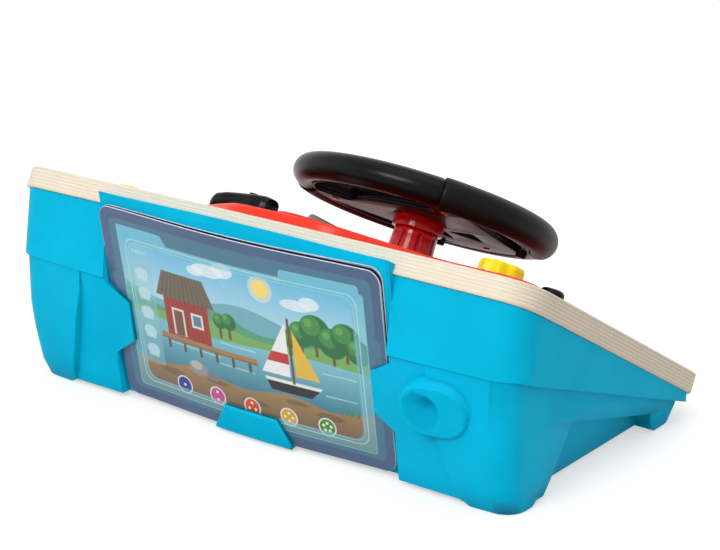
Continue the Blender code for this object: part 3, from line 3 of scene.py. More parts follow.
import bmesh
import bpy
import numpy as np
from mathutils import Matrix


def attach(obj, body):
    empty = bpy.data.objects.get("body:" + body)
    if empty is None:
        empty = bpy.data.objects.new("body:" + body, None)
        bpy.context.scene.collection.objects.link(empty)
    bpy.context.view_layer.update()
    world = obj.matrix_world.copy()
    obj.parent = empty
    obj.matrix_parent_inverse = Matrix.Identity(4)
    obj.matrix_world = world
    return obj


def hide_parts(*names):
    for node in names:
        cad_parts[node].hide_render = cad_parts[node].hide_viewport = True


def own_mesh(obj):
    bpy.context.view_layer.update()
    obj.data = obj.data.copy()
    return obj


# Looks of the toy dashboard: fine surfaces, finishes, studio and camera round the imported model.
# Lengths are millimetres, and each mesh is scaled to metres as it is made. X runs to the child's
# right, Y to the rear and Z up.

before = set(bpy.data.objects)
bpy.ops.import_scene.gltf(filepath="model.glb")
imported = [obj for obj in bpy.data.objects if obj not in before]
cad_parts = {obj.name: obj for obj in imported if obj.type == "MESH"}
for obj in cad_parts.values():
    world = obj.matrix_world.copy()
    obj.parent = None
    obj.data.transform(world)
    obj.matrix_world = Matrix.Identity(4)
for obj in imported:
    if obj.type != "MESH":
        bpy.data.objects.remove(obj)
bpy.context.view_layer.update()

# Board, its tilt and the pocket wall's lean; the shift along Y puts the toy's middle at the origin
TOY_SHIFT = -4.0619
TILT = math.radians(28.35)
LEAN = math.atan(0.19)
BOARD_WIDTH = 530.0
BOARD_LENGTH = 357.8
BOARD_THICK = 18.7
BOARD_REAR = 149.9
BOARD_HIGH = 200.1
PLY_COUNT = 13
FASCIA_TOP = 9.0
GAP = 0.3
EDGE_ROUND = 0.8
FULL_TURN = 2 * math.pi

# Steering wheel, seen from above: rim, grips, plate with its windows, hub ring
RIM_RADIUS = 105.3
RIM_TUBE = 12.3
GRIP_TUBE = 13.8
NECK_TUBE = 10.6
GRIP_START = math.radians(144.8)
GRIP_END = math.radians(234)
GRIP_LOW = math.radians(24)
GRIP_HIGH = math.radians(310)
PLATE_TOP = 3.9
PLATE_THICK = 12.2
PLATE_LOW = PLATE_TOP - PLATE_THICK
PLATE_RADIUS = 97.0
COVER_THICK = 3.0
COVER_HOLE = 24.0
WHEEL_RISE = 63.1
WHEEL_TURN = math.radians(-17)
WINDOW_REACH = 95.7
WINDOW_ARC = (math.radians(39), math.radians(141))
WINDOW_LINE = ((-56, 35), (-28, 44), (0, 47), (28, 44), (56, 35))
CRESCENT_REACH = 91.5
CRESCENT_ARC = (math.radians(163), math.radians(243))
CRESCENT_CHORD = 69.5
TRIANGLE_SHARES = ((0.485, 220), (0.66, 252), (0.33, 264))
HUB_RING_BORE = 23.5
HUB_RING_RADIUS = 27.0
HUB_RING_FOOT = 29.0
HUB_RING_RISE = 9.5
BOSS_RADIUS = 5.0
BOSS_PLACE = (53.5, -75.0)

# Horn button and column
HORN_RADIUS = 22.9
HORN_LIFT = 6.0
HORN_SIDE = 4.0
HORN_DOME = 5.0
COLLAR_BORE = 6.7
COLLAR_RADIUS = 22.3
COLLAR_FOOT = 40.6
SLEEVE_BORE = 7.0
SLEEVE_FOOT = 20.7
SLEEVE_RADIUS = 19.5
SLEEVE_TAPER = 26.0
SLEEVE_TOP = 40.3
BUSH_RADIUS = 10.1
BUSH_SEAT = 28.0
FLUTE_COUNT = 8
FLUTE_DEEP = 1.7
FLUTE_TOP = 37.5

# Dials, push button and lever
DIAL_RADIUS = 19.2
DIAL_TALL = 11.8
DIAL_SHAFT = 4.2
DIAL_END = -24.0
LOBE_COUNT = 8
LOBE_DEEP = 2.2
LOBE_START = 10.0
BUTTON_RADIUS = 10.5
BUTTON_RISE = 11.2
BUTTON_FOOT = -1.5
BUTTON_STEM = 8.0
LEVER_PIVOT = 30.0
LEVER_REACH = 83.0
LEVER_RISE = 16.0
LEVER_ROOT = 3.4
LEVER_TIP = 5.4
LEVER_SWELL = 2.0
LEVER_HUB = 6.6
LEVER_PIN = 2.7
LEVER_HUB_TALL = 11.0

# Shifter: shares of its bar are place along, depth, top and foot
SHIFT_SHARES = ((-1.0, 0.36, 0.72, 0.34), (-0.985, 0.50, 0.81, 0.24), (-0.93, 0.68, 0.90, 0.12),
                (-0.78, 0.86, 0.97, 0.04), (-0.45, 0.95, 1.0, 0.0), (-0.1, 0.92, 1.0, 0.0),
                (0.12, 0.92, 1.0, 0.0), (0.5, 0.98, 0.98, 0.0), (0.8, 0.92, 0.90, 0.0),
                (0.94, 0.72, 0.70, 0.0), (0.985, 0.56, 0.56, 0.0), (1.0, 0.42, 0.42, 0.0))
SHIFT_HALF = 31.8
SHIFT_OFFSET = -0.8
SHIFT_DEEP = 13.5
SHIFT_RISE = 20.2
SHIFT_SLOPE = 3.2
SHIFT_FOOT = 3.2
SHIFT_DROOP = 2.4
SKIRT_HALF = 17.0
SKIRT_LONG = 23.0
SKIRT_LEVELS = ((0, 0), (1.6, 0), (3.4, 1.2), (4.8, 2.8), (6.4, 6.4))
STEM_HALF = 4.0
STEM_END = -BOARD_THICK - GAP
THUMB_RADIUS = 4.6
THUMB_HIGH = 18.5
THUMB_DEEP = 4.0
THUMB_RISE = 4.0
THUMB_OFFSET = -8.0

# Springs: coil radius, wire radius and the travel that shortens them
SPRING_TURNS = 4
HORN_SPRING = (10.0, 0.5, 3.5)
BUTTON_SPRING = (6.0, 0.55, 3.5)
THUMB_SPRING = (2.6, 0.3, 1.6)
CUP_DEEP = 13.0
THUMB_WELL = 8.0

# Cards; a look is its name, drop, slope of the fanned top and how much narrower it is on one side
CARD_WIDTH = 289.01
CARD_SPREAD = 3.8
CARD_HEIGHT = 185.2
CARD_THICK = 1.2
CARD_FOOT = 6.7
CARD_CORNER = 11.5
CARD_LOOKS = (("back", 2.5, 0.0076, 0.0), ("middle", 5.2, 0.0, 1.2), ("front", 3.6, 0.0, 0.8))
CARD_EDGE = 0.25
POCKET_HALF = 149.0
POCKET_SHIFT = 2.5
POCKET_REAR = 126.5
POCKET_BULGE = 6.0

# Photograph's camera, in metres, degrees and pixels
EYE = (-0.96067, 1.33210 + TOY_SHIFT / 1000, 0.64428)
EYE_TURNS = (35.66, 17.97, 1.43)
EYE_FOCUS = 1965.99
PHOTO_WIDTH = 720
FILM_WIDTH = 36.0

# Lamps: place, width and height in metres, power, and whether they light more than gloss
LAMPS = (("key", (-0.12, 1.6, 1.28), 0.8, 0.45, 14, True),
         ("shine", (-0.12, 1.6, 1.28), 0.6, 0.12, 9, False),
         ("over", (-0.3, 0.2, 2.1), 1.6, 1.6, 8, True),
         ("left_fill", (1.7, 1.2, 1.0), 1.6, 1.6, 4, True),
         ("rear_fill", (0.3, -1.8, 1.3), 1.6, 1.6, 5, True))
LAMP_AIM = (0, 0, 0.1)
WORLD_LIGHT = 0.55
FLOOR_HALF = 6.0
FLOOR_DROP = 0.0004


# Seats

def shifted(x, y, z):
    """Seat moved by x, y and z."""
    seat = np.eye(4)
    seat[:3, 3] = (x, y, z)
    return seat


def turned_x(angle):
    """Seat turned about X."""
    c, s = math.cos(angle), math.sin(angle)
    return np.array([[1, 0, 0, 0], [0, c, -s, 0], [0, s, c, 0], [0, 0, 0, 1]], float)


def turned_z(angle):
    """Seat turned about Z."""
    c, s = math.cos(angle), math.sin(angle)
    return np.array([[c, -s, 0, 0], [s, c, 0, 0], [0, 0, 1, 0], [0, 0, 0, 1]], float)


def on_board(across, down):
    """Seat on the board at shares of its half width and its length."""
    return BOARD @ shifted(across * BOARD_WIDTH / 2, -down * BOARD_LENGTH, 0)


BOARD = shifted(0, BOARD_REAR + TOY_SHIFT, BOARD_HIGH) @ turned_x(TILT)
POCKET = shifted(POCKET_SHIFT, POCKET_REAR + TOY_SHIFT, 0) @ turned_x(-LEAN)
COLUMN = on_board(-0.215, 0.4433)
WHEEL = COLUMN @ shifted(0, 0, WHEEL_RISE) @ turned_z(WHEEL_TURN)
LEFT_DIAL = on_board(-0.698, 0.2655)
RIGHT_DIAL = on_board(0.7736, 0.2795)
BUTTON = on_board(-0.746, 0.458)
SHIFTER = on_board(0.3015, 0.263)
GAUGE = on_board(-0.09, 0.135)
THUMB = SHIFTER @ shifted(THUMB_OFFSET, 0, 0)
LEVER = COLUMN @ shifted(LEVER_PIVOT, 0, 0)


# Meshes from grids

def steps_round(count):
    """Angles of equal steps round a full turn."""
    return np.linspace(0, FULL_TURN, count, endpoint=False)


def grid_faces(rows, columns, wrap_rows=False, wrap_columns=False):
    """Four-sided faces between neighbouring points of a grid; a wrapped way meets its own start."""
    i, j = np.meshgrid(np.arange(rows - (not wrap_rows)), np.arange(columns - (not wrap_columns)),
                       indexing="ij")
    row, below = i * columns, (i + 1) % rows * columns
    beside = (j + 1) % columns
    return np.stack([row + j, row + beside, below + beside, below + j], -1).reshape(-1, 4)


def close(mesh):
    """Merge the points of a mesh that meet and turn its faces outwards."""
    form = bmesh.new()
    form.from_mesh(mesh)
    bmesh.ops.remove_doubles(form, verts=form.verts, dist=1e-6)
    bmesh.ops.recalc_face_normals(form, faces=form.faces)
    form.to_mesh(mesh)
    form.free()


def make(name, points, faces, seat, body, finish, stands_for=(), smooth=40.0, uv=None):
    """Closed piece from points in millimetres and faces, put in its seat."""
    mesh = bpy.data.meshes.new(name)
    flat = np.asarray(points, float).reshape(-1, 3)
    world = (flat @ seat[:3, :3].T + seat[:3, 3]) / 1000
    mesh.from_pydata(world.tolist(), [], faces.tolist())
    if uv is not None:
        layer = mesh.uv_layers.new(name="place")
        corners = np.zeros(len(mesh.loops), np.int32)
        mesh.loops.foreach_get("vertex_index", corners)
        layer.data.foreach_set("uv", np.asarray(uv, np.float32).reshape(-1, 2)[corners].ravel())
    close(mesh)
    return settle(name, mesh, body, finish, stands_for, smooth)


def settle(name, mesh, body, finish, stands_for=(), smooth=40.0):
    """Object of a finished mesh, shaded smooth up to an angle, riding on its body."""
    mesh.materials.clear()
    mesh.materials.append(finish)
    mesh.shade_smooth()
    mesh.set_sharp_from_angle(angle=math.radians(smooth))
    piece = bpy.data.objects.new(name, mesh)
    bpy.context.scene.collection.objects.link(piece)
    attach(piece, body)
    if stands_for:
        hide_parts(*stands_for)
    return piece


def box_line(left, low, right, high, radius, steps):
    """Closed rectangle with round corners."""
    return softened([(left, low), (right, low), (right, high), (left, high)], radius, steps, closed=True)


def at_height(outline, z):
    """Flat outline put at a height."""
    return np.insert(outline, 2, z, axis=1)


def softened(corners, radius, steps=5, closed=False):
    """Line with round corners: near corner c it is (1-t)^2 a + 2 t (1-t) c + t^2 b, a and b a radius away."""
    corners = np.asarray(corners, float)
    radii = np.broadcast_to(np.asarray(radius, float), (len(corners),))
    t = np.linspace(0, 1, steps + 1)[:, None]
    line = []
    for k, corner in enumerate(corners):
        if not closed and k in (0, len(corners) - 1):
            line.append(corner[None])
            continue
        back = corners[k - 1] - corner
        ahead = corners[(k + 1) % len(corners)] - corner
        reach = min(radii[k], np.linalg.norm(back) * 0.49, np.linalg.norm(ahead) * 0.49)
        a = corner + back / np.linalg.norm(back) * reach
        b = corner + ahead / np.linalg.norm(ahead) * reach
        line.append((1 - t) ** 2 * a + 2 * t * (1 - t) * corner + t ** 2 * b)
    return np.concatenate(line)


def spun(profile, count=64, lobes=None):
    """Profile of radius and height carried round Z: (r cos a, r sin a, z), r changed by lobes(r, a, z)."""
    profile = np.asarray(profile, float)
    a = steps_round(count)[None, :]
    r = np.repeat(profile[:, :1], count, 1)
    z = np.repeat(profile[:, 1:2], count, 1)
    if lobes:
        r = lobes(r, a, z)
    return np.stack([r * np.cos(a), r * np.sin(a), z], -1)


def turned_piece(name, profile, seat, body, finish, stands_for=(), count=64, lobes=None, ring=False,
                 smooth=40.0):
    """Turned piece; a ring's profile meets its own start, any other starts and ends on the axis."""
    points = spun(profile, count, lobes)
    faces = grid_faces(len(profile), count, wrap_rows=ring, wrap_columns=True)
    return make(name, points, faces, seat, body, finish, stands_for, smooth)


def swept_piece(name, rings, seat, body, finish, stands_for=(), smooth=40.0):
    """Closed tube: every ring's points joined to the next ring's, both ends drawn to their middles."""
    rings = np.asarray(rings, float)
    first = np.repeat(rings[:1].mean(1, keepdims=True), rings.shape[1], 1)
    last = np.repeat(rings[-1:].mean(1, keepdims=True), rings.shape[1], 1)
    points = np.concatenate([first, rings, last])
    return make(name, points, grid_faces(len(points), rings.shape[1], wrap_columns=True), seat, body, finish,
                stands_for, smooth)


def plate_piece(name, outlines, low, high, edge, seat, body, finish, stands_for=(), smooth=40.0):
    """Flat plate between two heights; inner outlines are windows, edges are quarter circles."""
    curve = bpy.data.curves.new(name, "CURVE")
    curve.dimensions = "2D"
    curve.fill_mode = "BOTH"
    curve.extrude = (high - low) / 2 - edge
    curve.bevel_depth = edge
    curve.bevel_resolution = 2
    curve.offset = -edge
    for outline in outlines:
        line = curve.splines.new("POLY")
        line.points.add(len(outline) - 1)
        flat = np.zeros((len(outline), 4))
        flat[:, :2] = outline
        flat[:, 3] = 1
        line.points.foreach_set("co", flat.ravel())
        line.use_cyclic_u = True
    holder = bpy.data.objects.new(name + "_line", curve)
    bpy.context.scene.collection.objects.link(holder)
    mesh = bpy.data.meshes.new_from_object(holder.evaluated_get(bpy.context.evaluated_depsgraph_get()))
    bpy.data.objects.remove(holder)
    bpy.data.curves.remove(curve)
    mesh.transform(Matrix((seat @ shifted(0, 0, (low + high) / 2)).tolist()))
    mesh.transform(Matrix.Scale(0.001, 4))
    close(mesh)
    return settle(name, mesh, body, finish, stands_for, smooth)


def twin(node, finish):
    """Copy of a node of the base with its corners merged and its flat faces whole, shaded smooth."""
    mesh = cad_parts[node].data.copy()
    form = bmesh.new()
    form.from_mesh(mesh)
    bmesh.ops.remove_doubles(form, verts=form.verts, dist=2e-6)
    bmesh.ops.dissolve_limit(form, angle_limit=math.radians(0.6), verts=form.verts, edges=form.edges)
    form.to_mesh(mesh)
    form.free()
    piece = settle(node + "_fine", mesh, "base", finish, (node,), 33)
    weigh = piece.modifiers.new("flat_faces_lead", "WEIGHTED_NORMAL")
    weigh.keep_sharp = True
    weigh.weight = 80


# Finishes

def tint(red, green, blue):
    """Linear colour of a screen colour: ((c + 0.055) / 1.055) ^ 2.4, or c / 12.92 where it is dark."""
    c = np.array([red, green, blue]) / 255
    linear = np.where(c > 0.04045, ((c + 0.055) / 1.055) ** 2.4, c / 12.92)
    return (*linear.tolist(), 1.0)


class Finish:
    """A material and short ways to write its nodes."""

    def __init__(self, name):
        self.material = bpy.data.materials.new(name)
        self.material.use_nodes = True
        self.tree = self.material.node_tree
        self.shader = self.tree.nodes["Principled BSDF"]

    def feed(self, socket, value):
        """Give a socket a link, or a plain value."""
        if isinstance(value, bpy.types.NodeSocket):
            self.tree.links.new(value, socket)
        elif value is not None:
            socket.default_value = value

    def node(self, kind, settings=(), **inputs):
        """New node with its settings and its inputs by name."""
        made = self.tree.nodes.new("ShaderNode" + kind)
        for key, value in dict(settings).items():
            setattr(made, key, value)
        for key, value in inputs.items():
            self.feed(made.inputs[key.replace("_", " ")], value)
        return made

    def place(self, scale=(1000, 1000, 1000)):
        """Object coordinates, in millimetres unless stretched."""
        where = self.node("TexCoord").outputs["Object"]
        return self.node("Mapping", {"vector_type": "POINT"}, Vector=where, Scale=scale).outputs["Vector"]

    def sums(self, operation, *values):
        """Math node."""
        made = self.node("Math", {"operation": operation})
        for socket, value in zip(made.inputs, values):
            self.feed(socket, value)
        return made.outputs[0]

    def vectors(self, operation, *values):
        """Vector math node; gives its number for a dot product or a length."""
        made = self.node("VectorMath", {"operation": operation})
        for socket, value in zip(made.inputs, values):
            self.feed(socket, value)
        number = operation in ("DOT_PRODUCT", "LENGTH")
        return made.outputs["Value" if number else "Vector"]

    def noise(self, vector, scale, detail=3.0, roughness=0.5):
        """Noise from 0 to 1."""
        made = self.node("TexNoise", Vector=vector, Scale=scale, Detail=detail, Roughness=roughness)
        return made.outputs["Fac"]

    def normal(self):
        """The face's own normal."""
        return self.node("NewGeometry").outputs["Normal"]

    def ramp(self, value, low, high, start=0.0, end=1.0, smooth=True):
        """A value mapped from low..high to start..end and kept within."""
        kind = "SMOOTHSTEP" if smooth else "LINEAR"
        made = self.node("MapRange", {"interpolation_type": kind}, Value=value)
        for key, number in (("From Min", low), ("From Max", high), ("To Min", start), ("To Max", end)):
            self.feed(made.inputs[key], number)
        return made.outputs["Result"]

    def mix(self, share, first, second, blend="MIX"):
        """Colour mixed from first to second by a share."""
        made = self.node("Mix", {"data_type": "RGBA", "blend_type": blend})
        self.feed(made.inputs[0], share)
        self.feed(made.inputs[6], first)
        self.feed(made.inputs[7], second)
        return made.outputs[2]

    def split(self, vector):
        """The three numbers of a vector."""
        return self.node("SeparateXYZ", Vector=vector).outputs

    def bump(self, height, depth, strength=1.0, edge=0.0):
        """Normal from a height in millimetres, over edges rounded by a radius in millimetres."""
        made = self.node("Bump", Height=height, Strength=strength, Distance=depth / 1000)
        if edge:
            round_edge = self.node("Bevel", {"samples": 4}, Radius=edge / 1000)
            self.feed(made.inputs["Normal"], round_edge.outputs["Normal"])
        return made.outputs["Normal"]

    def finish(self, colour, roughness, normal=None, metallic=0.0, **plain):
        """Feed the shader and hand over the material."""
        self.feed(self.shader.inputs["Base Color"], colour)
        self.feed(self.shader.inputs["Roughness"], roughness)
        self.feed(self.shader.inputs["Normal"], normal)
        self.shader.inputs["Metallic"].default_value = metallic
        for key, value in plain.items():
            self.shader.inputs[key.replace("_", " ")].default_value = value
        return self.material


def moulded(name, colour, gloss, grain=0.02, wear_and_sheen=0.35, specular=0.5, painted_nook_shade=0.0):
    """Moulded plastic: spark grain, shrink waves, drifting tone, paler edges that are rubbed wear and painted
    highlight, and painted shade darkening its nooks.
    """
    f = Finish(name)
    place = f.place()
    cloud = f.noise(place, 0.012, 3)
    speck = f.noise(place, 1.6, 2, 0.6)
    shade = f.ramp(cloud, 0.3, 0.7, 0.94, 1.06)
    body = f.mix(1.0, colour, f.node("CombineXYZ", X=shade, Y=shade, Z=shade).outputs[0], "MULTIPLY")
    rounded = f.node("Bevel", {"samples": 4}, Radius=0.0009)
    sharp = f.vectors("DOT_PRODUCT", rounded.outputs["Normal"], f.normal())
    patches = f.ramp(f.noise(place, 0.05, 4), 0.35, 0.65, 0.35, 1.0)
    # Paler edges: rubbed wear in patches, which also paints a highlight along the rounded edges; the same
    # mask adds roughness there.
    rub_and_sheen = f.sums("MULTIPLY", f.ramp(sharp, 0.995, 0.86), patches)
    pale = tuple(min(1.0, c * 1.18 + 0.045) for c in colour[:3]) + (1.0,)
    body = f.mix(f.sums("MULTIPLY", rub_and_sheen, wear_and_sheen), body, pale)
    # Painted shade: where ambient occlusion finds nooks, creases and recesses, the colour darkens towards a
    # deeper tone.
    if painted_nook_shade:
        nook_occlusion = f.node("AmbientOcclusion", {"samples": 6}, Distance=0.03).outputs["AO"]
        deep = tuple(c * 0.55 for c in colour[:3]) + (1.0,)
        body = f.mix(f.ramp(nook_occlusion, 0.85, 0.25, 0.0, painted_nook_shade), body, deep)
    waves = f.noise(place, 0.03, 1)
    height = f.sums("MULTIPLY_ADD", waves, 2.0, f.sums("MULTIPLY", speck, grain * 10))
    rough = f.ramp(speck, 0.2, 0.8, gloss * 0.9, gloss * 1.12)
    rough = f.sums("MULTIPLY_ADD", rub_and_sheen, 0.08, rough)
    return f.finish(body, rough, f.bump(height, 0.1, 1.0, EDGE_ROUND), Specular_IOR_Level=specular)


def metal(name, colour, gloss):
    """Plated steel: streaks along the piece and small dull spots."""
    f = Finish(name)
    streaks = f.noise(f.place((40, 900, 900)), 1.0, 4, 0.6)
    spots = f.noise(f.place(), 0.6, 4)
    dark = tuple(c * 0.72 for c in colour[:3]) + (1.0,)
    body = f.mix(f.ramp(spots, 0.45, 0.7), colour, dark)
    rough = f.ramp(streaks, 0.3, 0.7, gloss * 0.75, gloss * 1.3)
    return f.finish(body, rough, f.bump(streaks, 0.02, 0.5, 0.2), 1.0)


def plywood():
    """Birch plywood: long-grained veneer on both faces; plies, dark glue lines and end grain on the edges."""
    f = Finish("birch_plywood")
    up = tuple(BOARD[:3, 2].tolist())
    depth = f.sums("SUBTRACT", f.vectors("DOT_PRODUCT", f.place(), up), float(BOARD[:3, 3] @ BOARD[:3, 2]))
    facing = f.sums("ABSOLUTE", f.vectors("DOT_PRODUCT", f.normal(), up))
    face = f.ramp(facing, 0.7, 0.85)
    wander = f.noise(f.place((9, 9, 9)), 1.0, 2)
    level = f.sums("DIVIDE", f.sums("MULTIPLY_ADD", wander, 0.5, depth), -BOARD_THICK / PLY_COUNT)
    ply = f.sums("FLOOR", level)
    within = f.sums("FRACT", level)
    crossed = f.sums("PINGPONG", ply, 1.0)
    glue = f.sums("MAXIMUM", f.ramp(within, 0.13, 0.03), f.ramp(within, 0.93, 1.0))
    fibres = f.noise(f.place((35, 35, 1600)), 1.0, 3, 0.6)
    pores = f.noise(f.place((900, 900, 1500)), 1.0, 2, 0.5)
    tone = f.sums("MULTIPLY_ADD", f.sums("FRACT", f.sums("MULTIPLY", ply, 0.37)), 0.5, 0.15)
    along = f.mix(f.ramp(fibres, 0.3, 0.7), tint(247, 240, 224), tint(234, 222, 200))
    across = f.mix(f.ramp(pores, 0.35, 0.65), tint(236, 224, 202), tint(216, 199, 172))
    flank = f.sums("ABSOLUTE", f.split(f.normal())[0])
    edge = f.mix(f.sums("MULTIPLY", crossed, f.ramp(flank, 0.2, 0.9, 0.6, 1.0)), along, across)
    edge = f.mix(f.sums("MULTIPLY", tone, 0.25), edge, tint(222, 208, 182))
    edge = f.mix(f.sums("MULTIPLY", glue, 0.36), edge, tint(190, 168, 138))
    bend = f.node("TexWave", {"wave_type": "BANDS", "bands_direction": "Y"}, Vector=f.place((2.2, 55, 55)),
                  Scale=0.35, Distortion=7.0, Detail=2.0, Detail_Scale=0.8).outputs["Fac"]
    streak = f.noise(f.place((12, 900, 900)), 1.0, 4, 0.6)
    veneer = f.mix(f.ramp(streak, 0.3, 0.75), tint(240, 226, 200), tint(222, 202, 168))
    veneer = f.mix(f.sums("MULTIPLY", f.ramp(bend, 0.55, 0.95), 0.35), veneer, tint(206, 180, 142))
    body = f.mix(face, edge, veneer)
    height = f.sums("MULTIPLY_ADD", glue, -0.5, f.sums("MULTIPLY", f.mix(face, fibres, streak), 0.5))
    rough = f.ramp(face, 0.0, 1.0, 0.66, 0.4)
    return f.finish(body, rough, f.bump(height, 0.12, 1.0, 1.0))


class Painter:
    """Shapes painted on a card, in millimetres from its lower corner, each with a narrow soft edge."""

    def __init__(self, finish, width, height, ground):
        uv = finish.node("UVMap", {"uv_map": "place"}).outputs["UV"]
        self.f = finish
        self.at = finish.vectors("MULTIPLY", uv, (width, height, 0))
        self.x, self.y, _ = finish.split(self.at)
        self.colour = ground
        self.within = None

    def inside(self, distance):
        """1 where the distance is below 0, falling over a soft edge."""
        return self.f.ramp(distance, -0.35, 0.35, 1.0, 0.0, smooth=False)

    def disc(self, x, y, radius, wide=1.0):
        """Distance to a disc, or to an ellipse wider by a factor."""
        moved = self.f.vectors("MULTIPLY", self.f.vectors("SUBTRACT", self.at, (x, y, 0)), (1 / wide, 1, 0))
        return self.f.sums("SUBTRACT", self.f.vectors("LENGTH", moved), radius)

    def panel(self, left, low, right, high, corner=0.0):
        """Distance to a rectangle with round corners: |max(|p - c| - h + r, 0)| - r."""
        middle = ((left + right) / 2, (low + high) / 2, 0)
        half = ((right - left) / 2 - corner, (high - low) / 2 - corner, 0)
        away = self.f.vectors("ABSOLUTE", self.f.vectors("SUBTRACT", self.at, middle))
        away = self.f.vectors("SUBTRACT", away, half)
        if corner:
            out = self.f.vectors("LENGTH", self.f.vectors("MAXIMUM", away, (0, 0, 0)))
            return self.f.sums("SUBTRACT", out, corner)
        over_x, over_y, _ = self.f.split(away)
        return self.f.sums("MAXIMUM", over_x, over_y)

    def wedge(self, *corners):
        """Distance to a convex shape with corners turning to the left: the most of its sides' distances."""
        most = None
        for (ax, ay), (bx, by) in zip(corners, corners[1:] + corners[:1]):
            size = math.hypot(bx - ax, by - ay)
            out = ((by - ay) / size, (ax - bx) / size, 0)
            side = self.f.vectors("DOT_PRODUCT", self.at, out)
            side = self.f.sums("SUBTRACT", side, out[0] * ax + out[1] * ay)
            most = side if most is None else self.f.sums("MAXIMUM", most, side)
        return most

    def union(self, *distances):
        """Distance to several shapes together: the least of theirs."""
        least = distances[0]
        for distance in distances[1:]:
            least = self.f.sums("MINIMUM", least, distance)
        return least

    def below(self, level, swing, length, shift):
        """Distance to all below a wavy line level + swing sin(x / length + shift)."""
        wave = self.f.sums("SINE", self.f.sums("MULTIPLY_ADD", self.x, 1 / length, shift))
        return self.f.sums("SUBTRACT", self.y, self.f.sums("MULTIPLY_ADD", wave, swing, level))

    def line(self, distance, width):
        """Distance to a line of a width along a shape's edge."""
        return self.f.sums("SUBTRACT", self.f.sums("ABSOLUTE", distance), width / 2)

    def paint(self, distance, colour, share=1.0):
        """Lay a colour where a distance is below 0, and only within the window once there is one."""
        mask = self.inside(distance)
        if self.within is not None:
            mask = self.f.sums("MULTIPLY", mask, self.within)
        if share != 1.0:
            mask = self.f.sums("MULTIPLY", mask, share)
        self.colour = self.f.mix(mask, self.colour, colour)


def card_border(p, band):
    """Border of two tones round the picture, with a pale hairline where the card is cut."""
    w, h = CARD_WIDTH, CARD_HEIGHT
    p.paint(p.union(p.panel(9.5, 9.5, w - 9.5, h - 9.5, 6), p.panel(5.5, 50, w - 5.5, h - 62, 4)), band)
    drift = p.f.noise(p.f.vectors("MULTIPLY", p.at, (0.02, 0.02, 0)), 1.0, 2)
    p.colour = p.f.mix(p.f.ramp(drift, 0.3, 0.7, 0.0, 0.25), p.colour, band)
    p.paint(p.line(p.panel(0, 0, w, h, CARD_CORNER), 0.7), tint(210, 220, 234), 0.7)


def card_sky(p):
    """Sky with a low sun and clouds, and three ranges of hills."""
    fall = p.f.ramp(p.y, 96, 160, smooth=False)
    sky = p.f.mix(fall, tint(196, 230, 240), tint(104, 190, 226))
    p.paint(p.panel(0, 0, CARD_WIDTH, CARD_HEIGHT), sky)
    for x, y, r, wide in ((118, 150, 6, 2.8), (134, 154, 7, 1.6), (104, 147, 4.5, 2.0), (206, 138, 5, 3.0),
                          (219, 142, 6, 1.6)):
        p.paint(p.disc(x, y, r, wide), tint(238, 247, 250), 0.75)
    p.paint(p.disc(172, 146, 12), tint(250, 240, 190), 0.5)
    p.paint(p.disc(172, 146, 8), tint(250, 224, 120))
    p.paint(p.below(116, 8, 26, 2.2), tint(118, 178, 190))
    p.paint(p.below(107, 6, 17, 0.9), tint(92, 160, 126))
    p.paint(p.below(99, 4, 22, 3.1), tint(124, 176, 96))


def card_trees(p):
    """Round trees in two groves, each with a trunk and two lighter patches."""
    for x, y, r in ((208, 112, 12), (222, 118, 15), (238, 110, 14), (251, 117, 14), (262, 107, 12),
                    (196, 105, 8), (124, 104, 7), (134, 106, 8)):
        p.paint(p.panel(x - 1.4, y - r - 9, x + 1.4, y - r + 4), tint(110, 82, 58))
        p.paint(p.disc(x, y, r), tint(46, 112, 66))
        p.paint(p.disc(x - r * 0.25, y + r * 0.3, r * 0.62), tint(74, 146, 76), 0.9)
        p.paint(p.disc(x - r * 0.4, y + r * 0.45, r * 0.26), tint(110, 172, 92), 0.8)


def card_boathouse(p):
    """Red boathouse under a grey-brown roof, with planks, a pale door and window, on a wooden jetty."""
    p.paint(p.panel(62, 76, 112, 116), tint(162, 60, 50))
    for k in range(9):
        p.paint(p.panel(66.5 + 5 * k, 76, 67.2 + 5 * k, 116), tint(120, 42, 38), 0.7)
    p.paint(p.panel(70, 78, 84, 104), tint(226, 220, 208))
    p.paint(p.panel(72, 78, 82, 102), tint(120, 84, 60))
    p.paint(p.panel(92, 90, 105, 104), tint(232, 230, 222))
    p.paint(p.panel(94, 92, 103, 102), tint(96, 130, 150))
    p.paint(p.wedge((54, 113), (120, 113), (110, 138), (64, 138)), tint(112, 102, 84))
    for k in range(11):
        foot, top = 59 + 5.4 * k, 67.6 + 3.8 * k
        p.paint(p.wedge((foot, 113), (foot + 1.4, 113), (top + 1, 138), (top, 138)), tint(86, 78, 64), 0.7)
    for k in range(6):
        p.paint(p.panel(60 + 18 * k, 62, 63 + 18 * k, 74, 0.6), tint(104, 76, 52))
    p.paint(p.panel(54, 71, 160, 76.5, 0.8), tint(168, 128, 86))
    p.paint(p.panel(54, 71, 160, 72.4), tint(120, 88, 58), 0.8)


def card_boat(p):
    """Sailing boat with a dark hull and white sails, one with a red band."""
    p.paint(p.wedge((166, 64), (172, 52), (212, 52), (224, 64)), tint(36, 40, 50))
    p.paint(p.wedge((166, 64), (167.6, 60.8), (221, 60.8), (224, 64)), tint(240, 238, 232))
    p.paint(p.panel(194.6, 62, 197, 124), tint(110, 76, 50))
    p.paint(p.wedge((192.8, 68), (192.8, 120), (164, 68)), tint(244, 244, 242))
    p.paint(p.wedge((192.8, 80), (192.8, 90), (176.2, 90), (170.6, 80)), tint(196, 60, 52))
    p.paint(p.wedge((198.8, 70), (222, 70), (198.8, 114)), tint(234, 190, 72))
    p.paint(p.wedge((197, 124), (197, 117), (186, 120.5)), tint(206, 60, 52))


